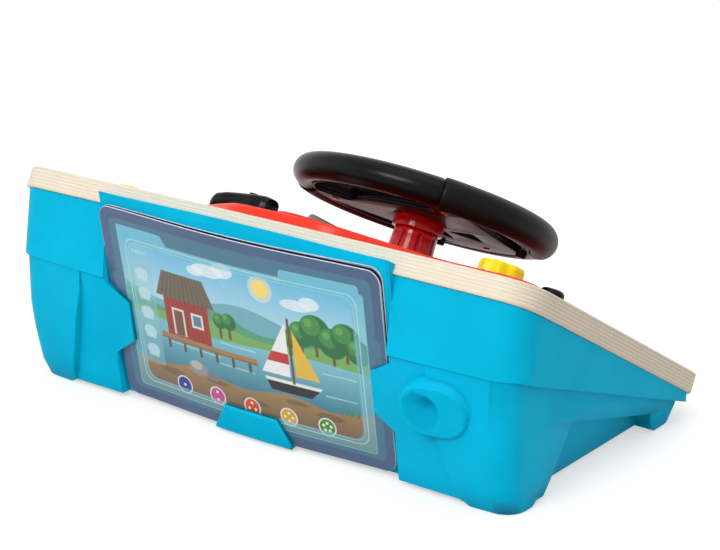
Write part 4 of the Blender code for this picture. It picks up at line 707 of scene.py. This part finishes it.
def card_shore(p):
    """Brown shore with a wavy edge, darker furrows, stones and tufts."""
    sand = p.f.mix(p.f.ramp(p.y, 14, 50, smooth=False), tint(104, 86, 68), tint(168, 134, 92))
    p.paint(p.below(47, 3.2, 15, 1.7), sand)
    for x, y, r, wide in ((60, 38, 3.4, 4.2), (112, 42, 2.4, 5.0), (228, 38, 3.4, 4.0), (196, 44, 2.4, 4.6),
                          (152, 33, 3.0, 5.0)):
        p.paint(p.disc(x, y, r, wide), tint(112, 88, 64), 0.7)
    p.paint(p.disc(92, 50, 7, 1.6), tint(148, 150, 148))
    p.paint(p.disc(90, 52.5, 4.2, 1.6), tint(190, 192, 188), 0.9)
    p.paint(p.disc(108, 46, 4.4, 1.6), tint(126, 128, 128))
    for x in (238, 243, 248, 254):
        p.paint(p.wedge((x, 44), (x + 3, 44), (x + 4.5, 54)), tint(80, 140, 74))


def card_counters(p):
    """Pale side column of plain tiles, and a row of round counters with dots."""
    p.paint(p.panel(27, 40, 52, 156, 4), tint(150, 200, 212), 0.4)
    p.paint(p.panel(31, 147, 48, 150.5), tint(150, 214, 236), 0.9)
    for k in range(5):
        y = 54 + 18.5 * k
        p.paint(p.disc(39.5, y, 5.6, 1.3), tint(194, 228, 236), 0.85)
        p.paint(p.panel(33.5, y - 7, 45.5, y - 3.4, 1.2), tint(194, 228, 236), 0.7)
    colours = ((56, 58, 150), (200, 76, 150), (214, 74, 44), (216, 168, 52), (60, 146, 66))
    for k, colour in enumerate(colours):
        x = 72 + 38 * k
        p.paint(p.disc(x, 28, 8.8), tint(240, 240, 240))
        p.paint(p.disc(x, 28, 7.6), tint(*colour))
        reach = 3.8 if k else 0
        for turn in steps_round(k + 1) + math.pi / 2:
            spot = (x + reach * math.cos(turn), 28 + reach * math.sin(turn))
            p.paint(p.disc(*spot, 1.4), tint(250, 240, 205))


def card_print(name, border, band):
    """Laminated card: slate border, pale glassy frame, a lake with a boathouse and boat, and counters."""
    f = Finish(name)
    w, h = CARD_WIDTH, CARD_HEIGHT
    p = Painter(f, w, h, border)
    card_border(p, band)
    slant = p.wedge((18, h - 60), (74, h - 24), (68, h - 15), (18, h - 15))
    window = p.union(p.panel(18, 14, w - 18, h - 24, 3), slant, p.panel(18, h - 60, 68, h - 15, 3),
                     p.panel(w - 96, 30, w - 22, h - 17, 3))
    within = p.inside(window)
    p.within = within
    card_sky(p)
    card_trees(p)
    water = f.mix(f.ramp(p.y, 46, 92, smooth=False), tint(66, 134, 156), tint(134, 200, 212))
    p.paint(p.below(88, 2.2, 30, 1.0), water)
    for level, left, right in ((83, 122, 160), (79, 226, 258), (68, 64, 120), (62, 118, 156), (58, 226, 256)):
        p.paint(p.panel(left, level, right, level + 1.2, 0.5), tint(190, 230, 238), 0.7)
    card_boathouse(p)
    card_boat(p)
    card_shore(p)
    p.within = None
    card_counters(p)
    inner = p.panel(30, 24, w - 30, h - 30, 10)
    glass = f.sums("MULTIPLY", f.sums("SUBTRACT", 1.0, p.inside(inner)), within)
    p.colour = f.mix(f.sums("MULTIPLY", glass, 0.5), p.colour, tint(120, 196, 208))
    p.paint(p.line(window, 0.8), tint(150, 206, 218), 0.7)
    for inset, width, share in ((25, 0.9, 0.85), (28, 0.5, 0.6)):
        ruled = p.panel(inset, inset - 5, w - inset, h - inset - 1, 10)
        p.paint(p.line(ruled, width), tint(186, 230, 236), share)
    gloss = f.ramp(f.noise(f.place(), 0.02, 2), 0.3, 0.7, 0.24, 0.32)
    normal = f.bump(f.noise(f.place(), 0.05, 2), 0.05)
    return f.finish(p.colour, gloss, normal, Coat_Weight=0.15, Coat_Roughness=0.15, Specular_IOR_Level=0.3)


def card_stock(name, low, high):
    """Card stock of two tones with a light weave of fibres."""
    f = Finish(name)
    fibre = f.noise(f.place(), 0.9, 3)
    return f.finish(f.mix(f.ramp(fibre, 0.35, 0.65), low, high), 0.4, f.bump(fibre, 0.03, 0.6))


def gauge_print():
    """Gauge disc: pale face, ring, ticks 24 degrees apart and a red pointer, by angle and radius."""
    f = Finish("gauge_print")
    away = f.vectors("SUBTRACT", f.place(), tuple(GAUGE[:3, 3].tolist()))
    u, v = (f.vectors("DOT_PRODUCT", away, tuple(BOARD[:3, k].tolist())) for k in (0, 1))
    radius = f.sums("SQRT", f.sums("ADD", f.sums("MULTIPLY", u, u), f.sums("MULTIPLY", v, v)))
    angle = f.sums("ARCTAN2", u, v)
    turn = f.sums("FRACT", f.sums("DIVIDE", angle, math.radians(24)))
    step = f.sums("ABSOLUTE", f.sums("SUBTRACT", turn, 0.5))
    band = f.sums("MULTIPLY", f.ramp(radius, 18.4, 18.8), f.ramp(radius, 22.6, 22.2))
    tick = f.sums("MULTIPLY", f.ramp(step, 0.46, 0.47), band)
    tick = f.sums("MULTIPLY", tick, f.ramp(f.sums("ABSOLUTE", angle), 2.3, 2.2))
    ring = f.ramp(f.sums("ABSOLUTE", f.sums("SUBTRACT", radius, 23.4)), 0.5, 0.2)
    tail = f.sums("ABSOLUTE", f.sums("MULTIPLY_ADD", v, 0.5, f.sums("MULTIPLY", u, -0.87)))
    reach = f.sums("MULTIPLY", f.ramp(radius, 17.5, 17.0), f.ramp(u, -1, 0))
    hand = f.sums("MULTIPLY", f.ramp(tail, 1.1, 0.8), reach)
    body = f.mix(f.noise(f.place(), 0.5, 2), tint(244, 243, 236), tint(236, 235, 228))
    body = f.mix(f.sums("MAXIMUM", tick, ring), body, tint(30, 34, 44))
    body = f.mix(hand, body, tint(214, 44, 36))
    body = f.mix(f.ramp(radius, 3.4, 3.0), body, tint(30, 34, 44))
    return f.finish(body, 0.25, f.bump(f.sums("MAXIMUM", tick, hand), 0.05), Coat_Weight=0.3)


def floor_finish():
    """Floor that shows white to the camera and keeps the soft shadow under the toy."""
    f = Finish("studio_floor")
    rays = f.node("LightPath").outputs
    mirrored = f.sums("MAXIMUM", rays["Is Glossy Ray"], rays["Is Transmission Ray"])
    seen = f.sums("MAXIMUM", rays["Is Camera Ray"], mirrored)
    f.feed(f.shader.inputs["Emission Color"], (1, 1, 1, 1))
    f.feed(f.shader.inputs["Emission Strength"], f.sums("MULTIPLY", seen, 0.56))
    return f.finish(tint(212, 208, 206), 0.9, None, Specular_IOR_Level=0.1)


# The blue housing and the crimson column get painted shade in their nooks.
BLUE = moulded("blue_plastic", tint(0, 191, 232), 0.5, 0.03, specular=0.05, painted_nook_shade=0.5)
WOOD = plywood()
RED = moulded("fascia_red", tint(242, 56, 34), 0.36, 0.015, specular=0.2)
CRIMSON = moulded("column_crimson", tint(202, 0, 14), 0.12, 0.008, wear_and_sheen=0.1, specular=0.22, painted_nook_shade=0.7)
BLACK = moulded("wheel_black", tint(9, 8, 11), 0.26, 0.012, wear_and_sheen=0.05, specular=0.13)
GRIP = moulded("grip_black", tint(12, 11, 12), 0.42, 0.03, wear_and_sheen=0.05, specular=0.13)
UNDER = moulded("wheel_underside", tint(10, 9, 10), 0.34, 0.01, wear_and_sheen=0.05, specular=0.12)
YELLOW = moulded("dial_yellow", tint(246, 228, 0), 0.3, 0.012, specular=0.25)
GLOSS_BLACK = moulded("button_black", tint(9, 9, 11), 0.2, 0.008, wear_and_sheen=0.08, specular=0.15)
GREY = moulded("lever_grey", tint(150, 148, 146), 0.42, 0.02)
NATURAL = moulded("natural_acetal", tint(228, 228, 222), 0.38, 0.02)
STEEL = metal("zinc_steel", tint(190, 192, 196), 0.32)
CARD_FACE = card_print("card_lake_print", tint(74, 96, 132), tint(76, 122, 148))
# Painted shade: the same print with a darker border, standing in for the shadow between the stacked cards;
# the back and middle cards wear it.
SHADED_CARD_FACE = card_print("card_dusk_print", tint(20, 34, 62), tint(30, 52, 84))
CARD_STOCK = card_stock("card_back", tint(66, 84, 116), tint(80, 98, 132))
CARD_CORE = card_stock("card_core", tint(236, 238, 242), tint(216, 220, 228))
GAUGE_FACE = gauge_print()


# Base, board and fascia

def housing_and_board():
    """The moulded base, the plywood and the fascia keep their shapes and get smooth corners."""
    for node, finish in (("base_housing", BLUE), ("dash_board", WOOD), ("fascia", RED)):
        twin(node, finish)


# Cards

def card_bulge(x):
    """Outward bulge of the pocket at x: most (1 - (x / half)^2)^2."""
    return POCKET_BULGE * np.clip(1 - (x / POCKET_HALF) ** 2, 0, None) ** 2


def around_rim(grid):
    """The points round the rim of a grid, in order."""
    return np.concatenate([grid[0, :-1], grid[:-1, -1], grid[-1, :0:-1], grid[:0:-1, 0]])


def card(name, index, body, tall, fan, shy_side, face):
    """One card: round corners, both faces a grid bent with the pocket, joined round the rim.

    A fanned card's top slopes: z grows by -fan x z / tall. Cards spread to the left with height.
    A row's half width shrinks near the top and bottom by r - sqrt(r^2 - d^2), d the depth into the corner."""
    corner = CARD_CORNER
    half = CARD_WIDTH / 2 - shy_side / 2
    lead = np.linspace(0, math.pi / 2, 9)
    ends = corner * (1 - np.sin(lead))[::-1]
    rows = np.concatenate([ends, np.linspace(corner, tall - corner, 24)[1:-1], tall - ends[::-1]])
    depth = np.clip(corner - np.minimum(rows, tall - rows), 0, corner)
    reach = half - corner + np.sqrt(corner ** 2 - depth ** 2)
    across = np.sin(np.linspace(-math.pi / 2, math.pi / 2, 97))
    x = across[None, :] * reach[:, None]
    z = np.repeat(rows[:, None], across.size, 1)
    near = GAP + index * (CARD_THICK + GAP)
    far = near + CARD_THICK
    sides = []
    for shy, y in ((CARD_EDGE, near), (0, near + CARD_EDGE), (0, far - CARD_EDGE), (CARD_EDGE, far)):
        rise = np.clip(z, shy, tall - shy)
        wide = x * (reach[:, None] - shy) / reach[:, None]
        wide = wide + shy_side / 2 + CARD_SPREAD * (wide / half + 1) / 2 * z / tall
        sides.append(np.stack([wide, y + card_bulge(wide), CARD_FOOT + rise * (1 - fan * x / tall)], -1))
    back, front = sides[0], sides[-1]
    rims = [around_rim(grid) for grid in sides]
    points = np.concatenate([back.reshape(-1, 3), front.reshape(-1, 3)] + rims)
    size = back.shape[0] * back.shape[1]
    sheet = grid_faces(*back.shape[:2])
    band = grid_faces(len(rims), len(rims[0]), wrap_columns=True) + 2 * size
    faces = np.concatenate([sheet[:, ::-1], sheet + size, band])
    wide = CARD_WIDTH + CARD_SPREAD * (points[:, 2] - CARD_FOOT) / tall
    uv = np.stack([1 - (points[:, 0] + CARD_WIDTH / 2) / wide, (points[:, 2] - CARD_FOOT) / tall], -1)
    piece = make(name, points, faces, POCKET, body, CARD_STOCK, (name.replace("_sheet", ""),), 50, uv)
    piece.data.materials.append(face)
    piece.data.materials.append(CARD_CORE)
    outward = np.array([0, math.cos(LEAN), -math.sin(LEAN)])
    normals = np.zeros(len(piece.data.polygons) * 3)
    piece.data.polygons.foreach_get("normal", normals)
    facing = normals.reshape(-1, 3) @ outward
    slot = np.where(facing > 0.9, 1, np.where(facing < -0.9, 0, 2))
    piece.data.polygons.foreach_set("material_index", slot.astype(np.int32))


def cards():
    """The three cards in the pocket, the one at the back standing a little higher and fanned."""
    for index, (side, drop, fan, shy_side) in enumerate(CARD_LOOKS):
        # Cards behind the front one take the print with the painted shade on its border.
        face = CARD_FACE if side == "front" else SHADED_CARD_FACE
        card(f"card_{side}_sheet", index, f"{side}_card", CARD_HEIGHT - drop, fan, shy_side, face)


# Steering wheel

def rim_ring(angle, radius, around):
    """Points of the rim's tube at an angle: R - r cos v outwards and r sin v up."""
    reach = RIM_RADIUS - radius * np.cos(around)
    return np.stack([reach * np.cos(angle), reach * np.sin(angle), radius * np.sin(around)], -1)


def rim():
    """Rim as a torus whose tube is thinner under each grip."""
    angle = steps_round(300)[:, None]
    around = steps_round(48)[None, :]
    radius = np.full_like(angle, RIM_TUBE)
    for start, end in ((GRIP_START, GRIP_END), (math.pi - GRIP_END, math.pi - GRIP_START)):
        gone = (angle - start) % FULL_TURN
        left = (end - angle) % FULL_TURN
        radius = np.where((gone < end - start) & (gone > 0.002) & (left > 0.002), NECK_TUBE, radius)
    points = rim_ring(angle, radius, around)
    make("wheel_rim", points, grid_faces(300, 48, True, True), WHEEL, "wheel", BLACK)


def grip(name, start, end):
    """Grip shell: a C of two radii round the neck, swept along the rim, with rounded lips and ends."""
    margin = GAP / RIM_RADIUS
    along = np.concatenate([[0, 0.004, 0.012], np.linspace(0.02, 0.98, 70), [0.988, 0.996, 1]])
    shy = np.concatenate([[1.0, 0.35, 0.05], np.zeros(70), [0.05, 0.35, 1.0]])
    outer = np.linspace(GRIP_LOW, GRIP_HIGH, 56)
    thick = GRIP_TUBE - NECK_TUBE - GAP
    lips = np.clip(1 - np.minimum(outer - GRIP_LOW, GRIP_HIGH - outer) / 0.09, 0, 1)
    rings = []
    for share, less in zip(along, shy):
        angle = start + margin + (end - start - 2 * margin) * share
        top = GRIP_TUBE - less - thick * 0.35 * lips ** 2
        low = np.full_like(outer, NECK_TUBE + GAP)
        rings.append(np.concatenate([rim_ring(angle, top, outer), rim_ring(angle, low, outer)[::-1]]))
    rings = np.array(rings)
    count = len(outer)
    shell = grid_faces(len(rings), 2 * count, wrap_columns=True)
    k = np.arange(count - 1)
    cap = np.stack([k, k + 1, 2 * count - 2 - k, 2 * count - 1 - k], -1)
    last = (len(rings) - 1) * 2 * count
    faces = np.concatenate([shell, cap[:, ::-1], cap + last])
    make(name + "_fine", rings, faces, WHEEL, "wheel", GRIP, (name,))


def arc(radius, angle):
    """Points at a radius and at angles from X."""
    return np.stack([radius * np.cos(angle), radius * np.sin(angle)], -1)


def top_window():
    """Window over the hub: an arc under the rim and an arched edge over the hub."""
    over = arc(WINDOW_REACH, np.linspace(*WINDOW_ARC, 40))
    under = softened([over[-1], *WINDOW_LINE, over[0]], [0, 7, 20, 24, 20, 7, 0], 6)
    return np.concatenate([over, under[1:-1]])


def side_window(side):
    """Crescent between the rim and a chord."""
    over = arc(CRESCENT_REACH, np.linspace(*CRESCENT_ARC, 32))
    chord = arc(CRESCENT_CHORD, sum(CRESCENT_ARC) / 2)
    return np.concatenate([over, softened([over[-1], chord, over[0]], 24, 8)[1:-1]]) * (side, 1)


def small_window(side):
    """Three-cornered window beside the middle strut."""
    corners = [arc(share * PLATE_RADIUS, math.radians(angle)) for share, angle in TRIANGLE_SHARES]
    return softened(corners, 4.2, 6, closed=True) * (side, 1)


def spokes():
    """Spokes and hub: a plate with windows, its cover, the ring round the horn button and two bosses."""
    windows = [top_window(), side_window(1), side_window(-1), small_window(1), small_window(-1)]
    plate = [arc(PLATE_RADIUS + 2, steps_round(160))] + windows
    plate_piece("wheel_spokes", plate, PLATE_LOW, PLATE_TOP, 1.0, WHEEL, "wheel", BLACK, ("wheel_body",))
    high = PLATE_LOW - GAP
    low = high - COVER_THICK
    cover = [arc(PLATE_RADIUS, steps_round(160))] + windows + [arc(COVER_HOLE, steps_round(80))]
    plate_piece("wheel_cover_fine", cover, low, high, 0.7, WHEEL, "wheel", UNDER, ("wheel_cover",))
    foot, top = PLATE_TOP - 2, PLATE_TOP + HUB_RING_RISE
    ring = softened([(HUB_RING_BORE, foot), (HUB_RING_FOOT, foot), (HUB_RING_FOOT, PLATE_TOP),
                     (HUB_RING_RADIUS, PLATE_TOP + 1.5), (HUB_RING_RADIUS, top), (HUB_RING_BORE, top)],
                    0.9, 4, closed=True)
    turned_piece("hub_ring", ring, WHEEL, "wheel", BLACK, ring=True, count=96)
    boss = softened([(0, low - 5), (BOSS_RADIUS, low - 5), (BOSS_RADIUS, PLATE_LOW - 1), (0, PLATE_LOW - 1)],
                    [0, 2.2, 0, 0], 6)
    for side, word in ((1, "right"), (-1, "left")):
        seat = WHEEL @ shifted(side * BOSS_PLACE[0], BOSS_PLACE[1], 0)
        turned_piece(f"rim_boss_{word}", boss, seat, "wheel", UNDER, count=48)


def flutes(r, a, z):
    """Flutes: r falls by their depth near every eighth of the turn, fading out near the top."""
    along = np.abs((a * FLUTE_COUNT / FULL_TURN + 0.5) % 1 - 0.5)
    groove = np.clip((0.115 - along) / 0.04, 0, 1)
    fade = np.clip((FLUTE_TOP - z) / 1.8, 0, 1)
    return np.where(r > 15, r - FLUTE_DEEP * groove * np.sqrt(fade), r)


def column():
    """Horn button, collar and fluted sleeve of the column."""
    foot = PLATE_TOP + HORN_LIFT
    rise = np.linspace(0.05, math.pi / 2, 14)
    dome = np.stack([HORN_RADIUS * np.cos(rise), foot + HORN_SIDE + HORN_DOME * np.sin(rise)], -1)
    profile = np.concatenate([[(0, foot), (HORN_RADIUS - 0.6, foot), (HORN_RADIUS, foot + 0.6)], dome])
    turned_piece("horn_button_fine", profile, WHEEL, "horn", RED, ("horn_button",), 96)
    collar = box_line(COLLAR_BORE, COLLAR_FOOT, COLLAR_RADIUS, WHEEL_RISE + PLATE_LOW - GAP, 1.1, 5)
    turned_piece("column_collar_fine", collar, COLUMN, "wheel", CRIMSON, ("column_collar",), 96, ring=True)
    foot = FASCIA_TOP + GAP
    outer = softened([(SLEEVE_BORE, foot), (SLEEVE_FOOT, foot), (SLEEVE_FOOT, foot + 0.8),
                      (SLEEVE_RADIUS, foot + SLEEVE_TAPER), (SLEEVE_RADIUS, SLEEVE_TOP),
                      (BUSH_RADIUS, SLEEVE_TOP), (BUSH_RADIUS, BUSH_SEAT), (SLEEVE_BORE, BUSH_SEAT)],
                     0.7, 4, closed=True)
    dense = [outer[0]]
    for a, b in zip(outer, np.roll(outer, -1, 0)):
        steps = max(1, int(abs(b[1] - a[1]) // 1.2))
        dense += [a + (b - a) * k / steps for k in range(1, steps + 1)]
    turned_piece("column_sleeve_fine", dense[:-1], COLUMN, "base", CRIMSON, ("column_sleeve",), 320, flutes,
                 ring=True, smooth=50)


def steering_wheel():
    """All of the wheel and its column."""
    rim()
    grip("grip_left", GRIP_START, GRIP_END)
    grip("grip_right", math.pi - GRIP_END, math.pi - GRIP_START)
    spokes()
    column()


# Controls on the board

def lobes(r, a, z):
    """Eight lobes: r falls between them, and not near the middle, so that the top stays flat."""
    share = np.clip((r - LOBE_START) / 7, 0, 1)
    return r - LOBE_DEEP * share * (1 + np.cos(LOBE_COUNT * a)) / 2


def dial(side, seat, foot):
    """Lobed dial under a rounded top, with its shaft and a raised pointer."""
    top = foot + DIAL_TALL
    crown = softened([(DIAL_RADIUS - 2.2, foot), (DIAL_RADIUS, foot), (DIAL_RADIUS - 0.6, top - 2.6),
                      (DIAL_RADIUS - 1.8, top), (0, top)], [0, 0.4, 2.0, 2.2, 0], 7)
    profile = np.concatenate([[(0, DIAL_END), (DIAL_SHAFT, DIAL_END), (DIAL_SHAFT, foot)], crown])
    turned_piece(f"dial_{side}_fine", profile, seat, f"{side}_dial", YELLOW, (f"dial_{side}",), 192, lobes,
                 smooth=55)
    pointer = box_line(-2.1, -3, 2.1, 11.5, 1.9, 5)
    plate_piece(f"dial_{side}_pointer", [pointer], top - 1, top + 0.85, 0.4, seat, f"{side}_dial", YELLOW)


def push_button():
    """Push button with a crowned top and its stem."""
    foot, top = FASCIA_TOP + BUTTON_FOOT + GAP, FASCIA_TOP + BUTTON_RISE
    crown = softened([(BUTTON_RADIUS - 2.3, foot), (BUTTON_RADIUS, foot), (BUTTON_RADIUS, top - 3.0),
                      (BUTTON_RADIUS - 2.1, top - 0.6), (0, top + 0.4)], [0, 0.4, 2.4, 3.0, 0], 7)
    profile = np.concatenate([[(0, STEM_END), (BUTTON_STEM, STEM_END), (BUTTON_STEM, foot)], crown])
    turned_piece("push_button_fine", profile, BUTTON, "button", GLOSS_BLACK, ("push_button",), 96)


def full(value):
    """Two thirds power that keeps its sign: it fills a circle's sine and cosine out to a superellipse."""
    return np.copysign(np.abs(value) ** (2 / 3), value)


def shifter():
    """Shifter's bar of superellipse sections |y/b|^3 + |z/c|^3 = 1 along X; skirt, stem and thumb button."""
    foot = FASCIA_TOP + GAP
    places, *shares = zip(*SHIFT_SHARES)
    along = np.sin(np.linspace(-math.pi / 2, math.pi / 2, 61))[:, None]
    deep, high, low = (np.interp(along, places, share) for share in shares)
    rise = SHIFT_RISE - SHIFT_SLOPE * along
    top = foot + rise * high
    base = foot + SHIFT_FOOT - SHIFT_DROOP * np.clip((along - 0.3) / 0.5, 0, 1) + (rise - SHIFT_FOOT) * low
    t = (np.arange(48) + 0.5)[None, :] / 48 * FULL_TURN
    y = deep * SHIFT_DEEP * full(np.cos(t))
    z = (top + base) / 2 + (top - base) / 2 * full(np.sin(t))
    rings = np.stack([np.repeat(along * SHIFT_HALF + SHIFT_OFFSET, 48, 1), y, z], -1)
    swept_piece("shift_bar", rings, SHIFTER, "shifter", GLOSS_BLACK, ("shift_handle",), 50)
    outline = box_line(-SKIRT_HALF, -SKIRT_LONG, SKIRT_HALF, SKIRT_LONG, 8, 8)
    skirt = [at_height(outline * (1 - inset / SKIRT_HALF, 1 - inset / SKIRT_LONG), foot + level)
             for level, inset in SKIRT_LEVELS]
    swept_piece("shift_skirt", skirt, SHIFTER, "shifter", GLOSS_BLACK)
    square = box_line(-STEM_HALF, -STEM_HALF, STEM_HALF, STEM_HALF, 0.5, 2)
    stem = [at_height(square, level) for level in (STEM_END, foot + 4)]
    swept_piece("shift_stem", stem, SHIFTER, "shifter", GLOSS_BLACK)
    low, high = foot + THUMB_HIGH - THUMB_DEEP, foot + THUMB_HIGH + THUMB_RISE
    crown = softened([(THUMB_RADIUS, low), (THUMB_RADIUS, high - 0.1), (0, high)], [0, 1.0, 0], 5)
    profile = np.concatenate([[(0, low)], crown])
    turned_piece("thumb_cap", profile, THUMB, "thumb", GRIP, ("thumb_button",), 48)


def lever():
    """Signal lever: an arm swelling along its length to a round tip, on a round hub."""
    foot = FASCIA_TOP + GAP
    start = LEVER_REACH - LEVER_TIP
    lead = np.sin(np.linspace(0.1, math.pi / 2, 12))
    along = np.concatenate([np.linspace(-3, start, 30), start + LEVER_TIP * lead])[:, None]
    arm = LEVER_ROOT + LEVER_SWELL * np.clip(along, 0, start) / LEVER_REACH
    tip = np.sqrt(np.clip(1 - ((along - start) / LEVER_TIP) ** 2, 0, 1))
    radius = arm * np.where(along < start, 1, tip)
    t = steps_round(36)[None, :]
    x = np.repeat(along, 36, 1)
    z = foot + 5.5 + LEVER_RISE * x / LEVER_REACH
    rings = np.stack([x, radius * np.cos(t), z + radius * np.sin(t)], -1)
    swept_piece("lever_arm", rings, LEVER, "lever", GREY, ("signal_lever",))
    hub = box_line(LEVER_PIN, foot, LEVER_HUB, foot + LEVER_HUB_TALL, 0.9, 4)
    turned_piece("lever_hub", hub, LEVER, "lever", GREY, ring=True)


def coil(name, seat, looks, low, high, body):
    """Spring: a round wire along a helix whose end turns lie flat; the travel in its looks is not used."""
    radius, wire, travel = looks
    t = np.linspace(0, SPRING_TURNS, SPRING_TURNS * 24 + 1)[:, None]
    rise = np.clip((t - 0.6) / (SPRING_TURNS - 1.2), 0, 1)
    middle = low + wire + (high - low - 2 * wire) * rise
    a = steps_round(12)[None, :]
    r = radius + wire * np.cos(a)
    turn = FULL_TURN * t
    rings = np.stack([r * np.cos(turn), r * np.sin(turn), middle + wire * np.sin(a)], -1)
    spring = swept_piece(f"{name}_coil", rings, seat, body, STEEL, (name,))
    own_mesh(spring)


def springs():
    """Springs under the horn button, the push button and the thumb button."""
    thumb = FASCIA_TOP + GAP + THUMB_HIGH
    cup = STEM_END - CUP_DEEP
    horn = PLATE_TOP + HORN_LIFT
    coil("horn_spring", WHEEL, HORN_SPRING, PLATE_TOP + GAP, horn - GAP, "wheel")
    coil("button_spring", BUTTON, BUTTON_SPRING, cup + GAP, STEM_END - GAP, "base")
    coil("thumb_spring", THUMB, THUMB_SPRING, thumb - THUMB_WELL + GAP, thumb - THUMB_DEEP - GAP, "shifter")


def controls():
    """Dials, button, shifter and lever."""
    dial("left", LEFT_DIAL, FASCIA_TOP + GAP)
    dial("right", RIGHT_DIAL, GAP)
    push_button()
    shifter()
    lever()
    springs()


# Pieces that keep their CAD shape

def plain_nodes():
    """Finishes of the small pieces that keep their shape, by the last of these words in their names."""
    words = (("gauge", GAUGE_FACE), ("thumb_button", GRIP), ("lever", GREY), ("screw", STEEL),
             ("spring", STEEL), ("shaft", STEEL), ("washer", STEEL), ("pin", STEEL), ("nut", STEEL),
             ("bush", NATURAL), ("cup", NATURAL), ("keeper", NATURAL))
    for name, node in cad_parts.items():
        found = [finish for word, finish in words if word in name]
        node.data.materials.clear()
        node.data.materials.append(found[-1] if found else BLUE)


# Studio

def lamp(name, place, wide, tall, power, lights_all):
    """Soft box at a place in metres, facing the toy; if it doesn't light all, only gloss shows it."""
    light = bpy.data.lights.new(name, "AREA")
    light.shape = "RECTANGLE"
    light.size = wide
    light.size_y = tall
    light.energy = power
    holder = bpy.data.objects.new(name, light)
    bpy.context.scene.collection.objects.link(holder)
    away = np.subtract(place, LAMP_AIM)
    away /= np.linalg.norm(away)
    side = np.cross((0, 0, 1), away)
    side /= np.linalg.norm(side)
    over = np.cross(away, side)
    turn = np.eye(4)
    turn[:3, 0], turn[:3, 1], turn[:3, 2], turn[:3, 3] = side, over, away, place
    holder.matrix_world = Matrix(turn.tolist())
    holder.visible_diffuse = lights_all


def studio():
    """White floor, soft lamps and a plain world."""
    corners = [(x * FLOOR_HALF, y * FLOOR_HALF, -FLOOR_DROP) for x, y in ((-1, -1), (1, -1), (1, 1), (-1, 1))]
    mesh = bpy.data.meshes.new("floor")
    mesh.from_pydata(corners, [], [[0, 1, 2, 3]])
    mesh.materials.append(floor_finish())
    floor = bpy.data.objects.new("floor", mesh)
    bpy.context.scene.collection.objects.link(floor)
    for look in LAMPS:
        lamp(*look)
    world = bpy.data.worlds.new("studio")
    world.use_nodes = True
    bpy.context.scene.world = world
    tree = world.node_tree
    back = tree.nodes["Background"]
    rays = tree.nodes.new("ShaderNodeLightPath")
    seen = rays.outputs["Is Camera Ray"]
    for other in ("Is Glossy Ray", "Is Transmission Ray"):
        more = tree.nodes.new("ShaderNodeMath")
        more.operation = "MAXIMUM"
        tree.links.new(seen, more.inputs[0])
        tree.links.new(rays.outputs[other], more.inputs[1])
        seen = more.outputs[0]
    level = tree.nodes.new("ShaderNodeMapRange")
    level.inputs["To Min"].default_value = WORLD_LIGHT
    level.inputs["To Max"].default_value = 1.0
    tree.links.new(seen, level.inputs["Value"])
    back.inputs["Color"].default_value = (1, 1, 1, 1)
    tree.links.new(level.outputs["Result"], back.inputs["Strength"])


def camera():
    """Camera of the photograph's view: yaw, pitch and roll about its own place."""
    yaw, pitch, roll = (math.radians(a) for a in EYE_TURNS)
    ahead = np.array([math.sin(yaw) * math.cos(pitch), -math.cos(yaw) * math.cos(pitch), -math.sin(pitch)])
    right = np.cross(ahead, (0, 0, 1))
    right /= np.linalg.norm(right)
    up = np.cross(right, ahead)
    turn = np.eye(4)
    turn[:3, 0] = math.cos(roll) * right + math.sin(roll) * up
    turn[:3, 1] = -math.sin(roll) * right + math.cos(roll) * up
    turn[:3, 2] = -ahead
    turn[:3, 3] = EYE
    lens = bpy.data.cameras.new("camera")
    lens.sensor_width = FILM_WIDTH
    lens.sensor_fit = "HORIZONTAL"
    lens.lens = EYE_FOCUS / PHOTO_WIDTH * FILM_WIDTH
    lens.clip_end = 50
    eye = bpy.data.objects.new("camera", lens)
    eye.matrix_world = Matrix(turn.tolist())
    bpy.context.scene.collection.objects.link(eye)
    bpy.context.scene.camera = eye
    bpy.context.scene.view_settings.view_transform = "Standard"


plain_nodes()
housing_and_board()
cards()
steering_wheel()
controls()
studio()
camera()
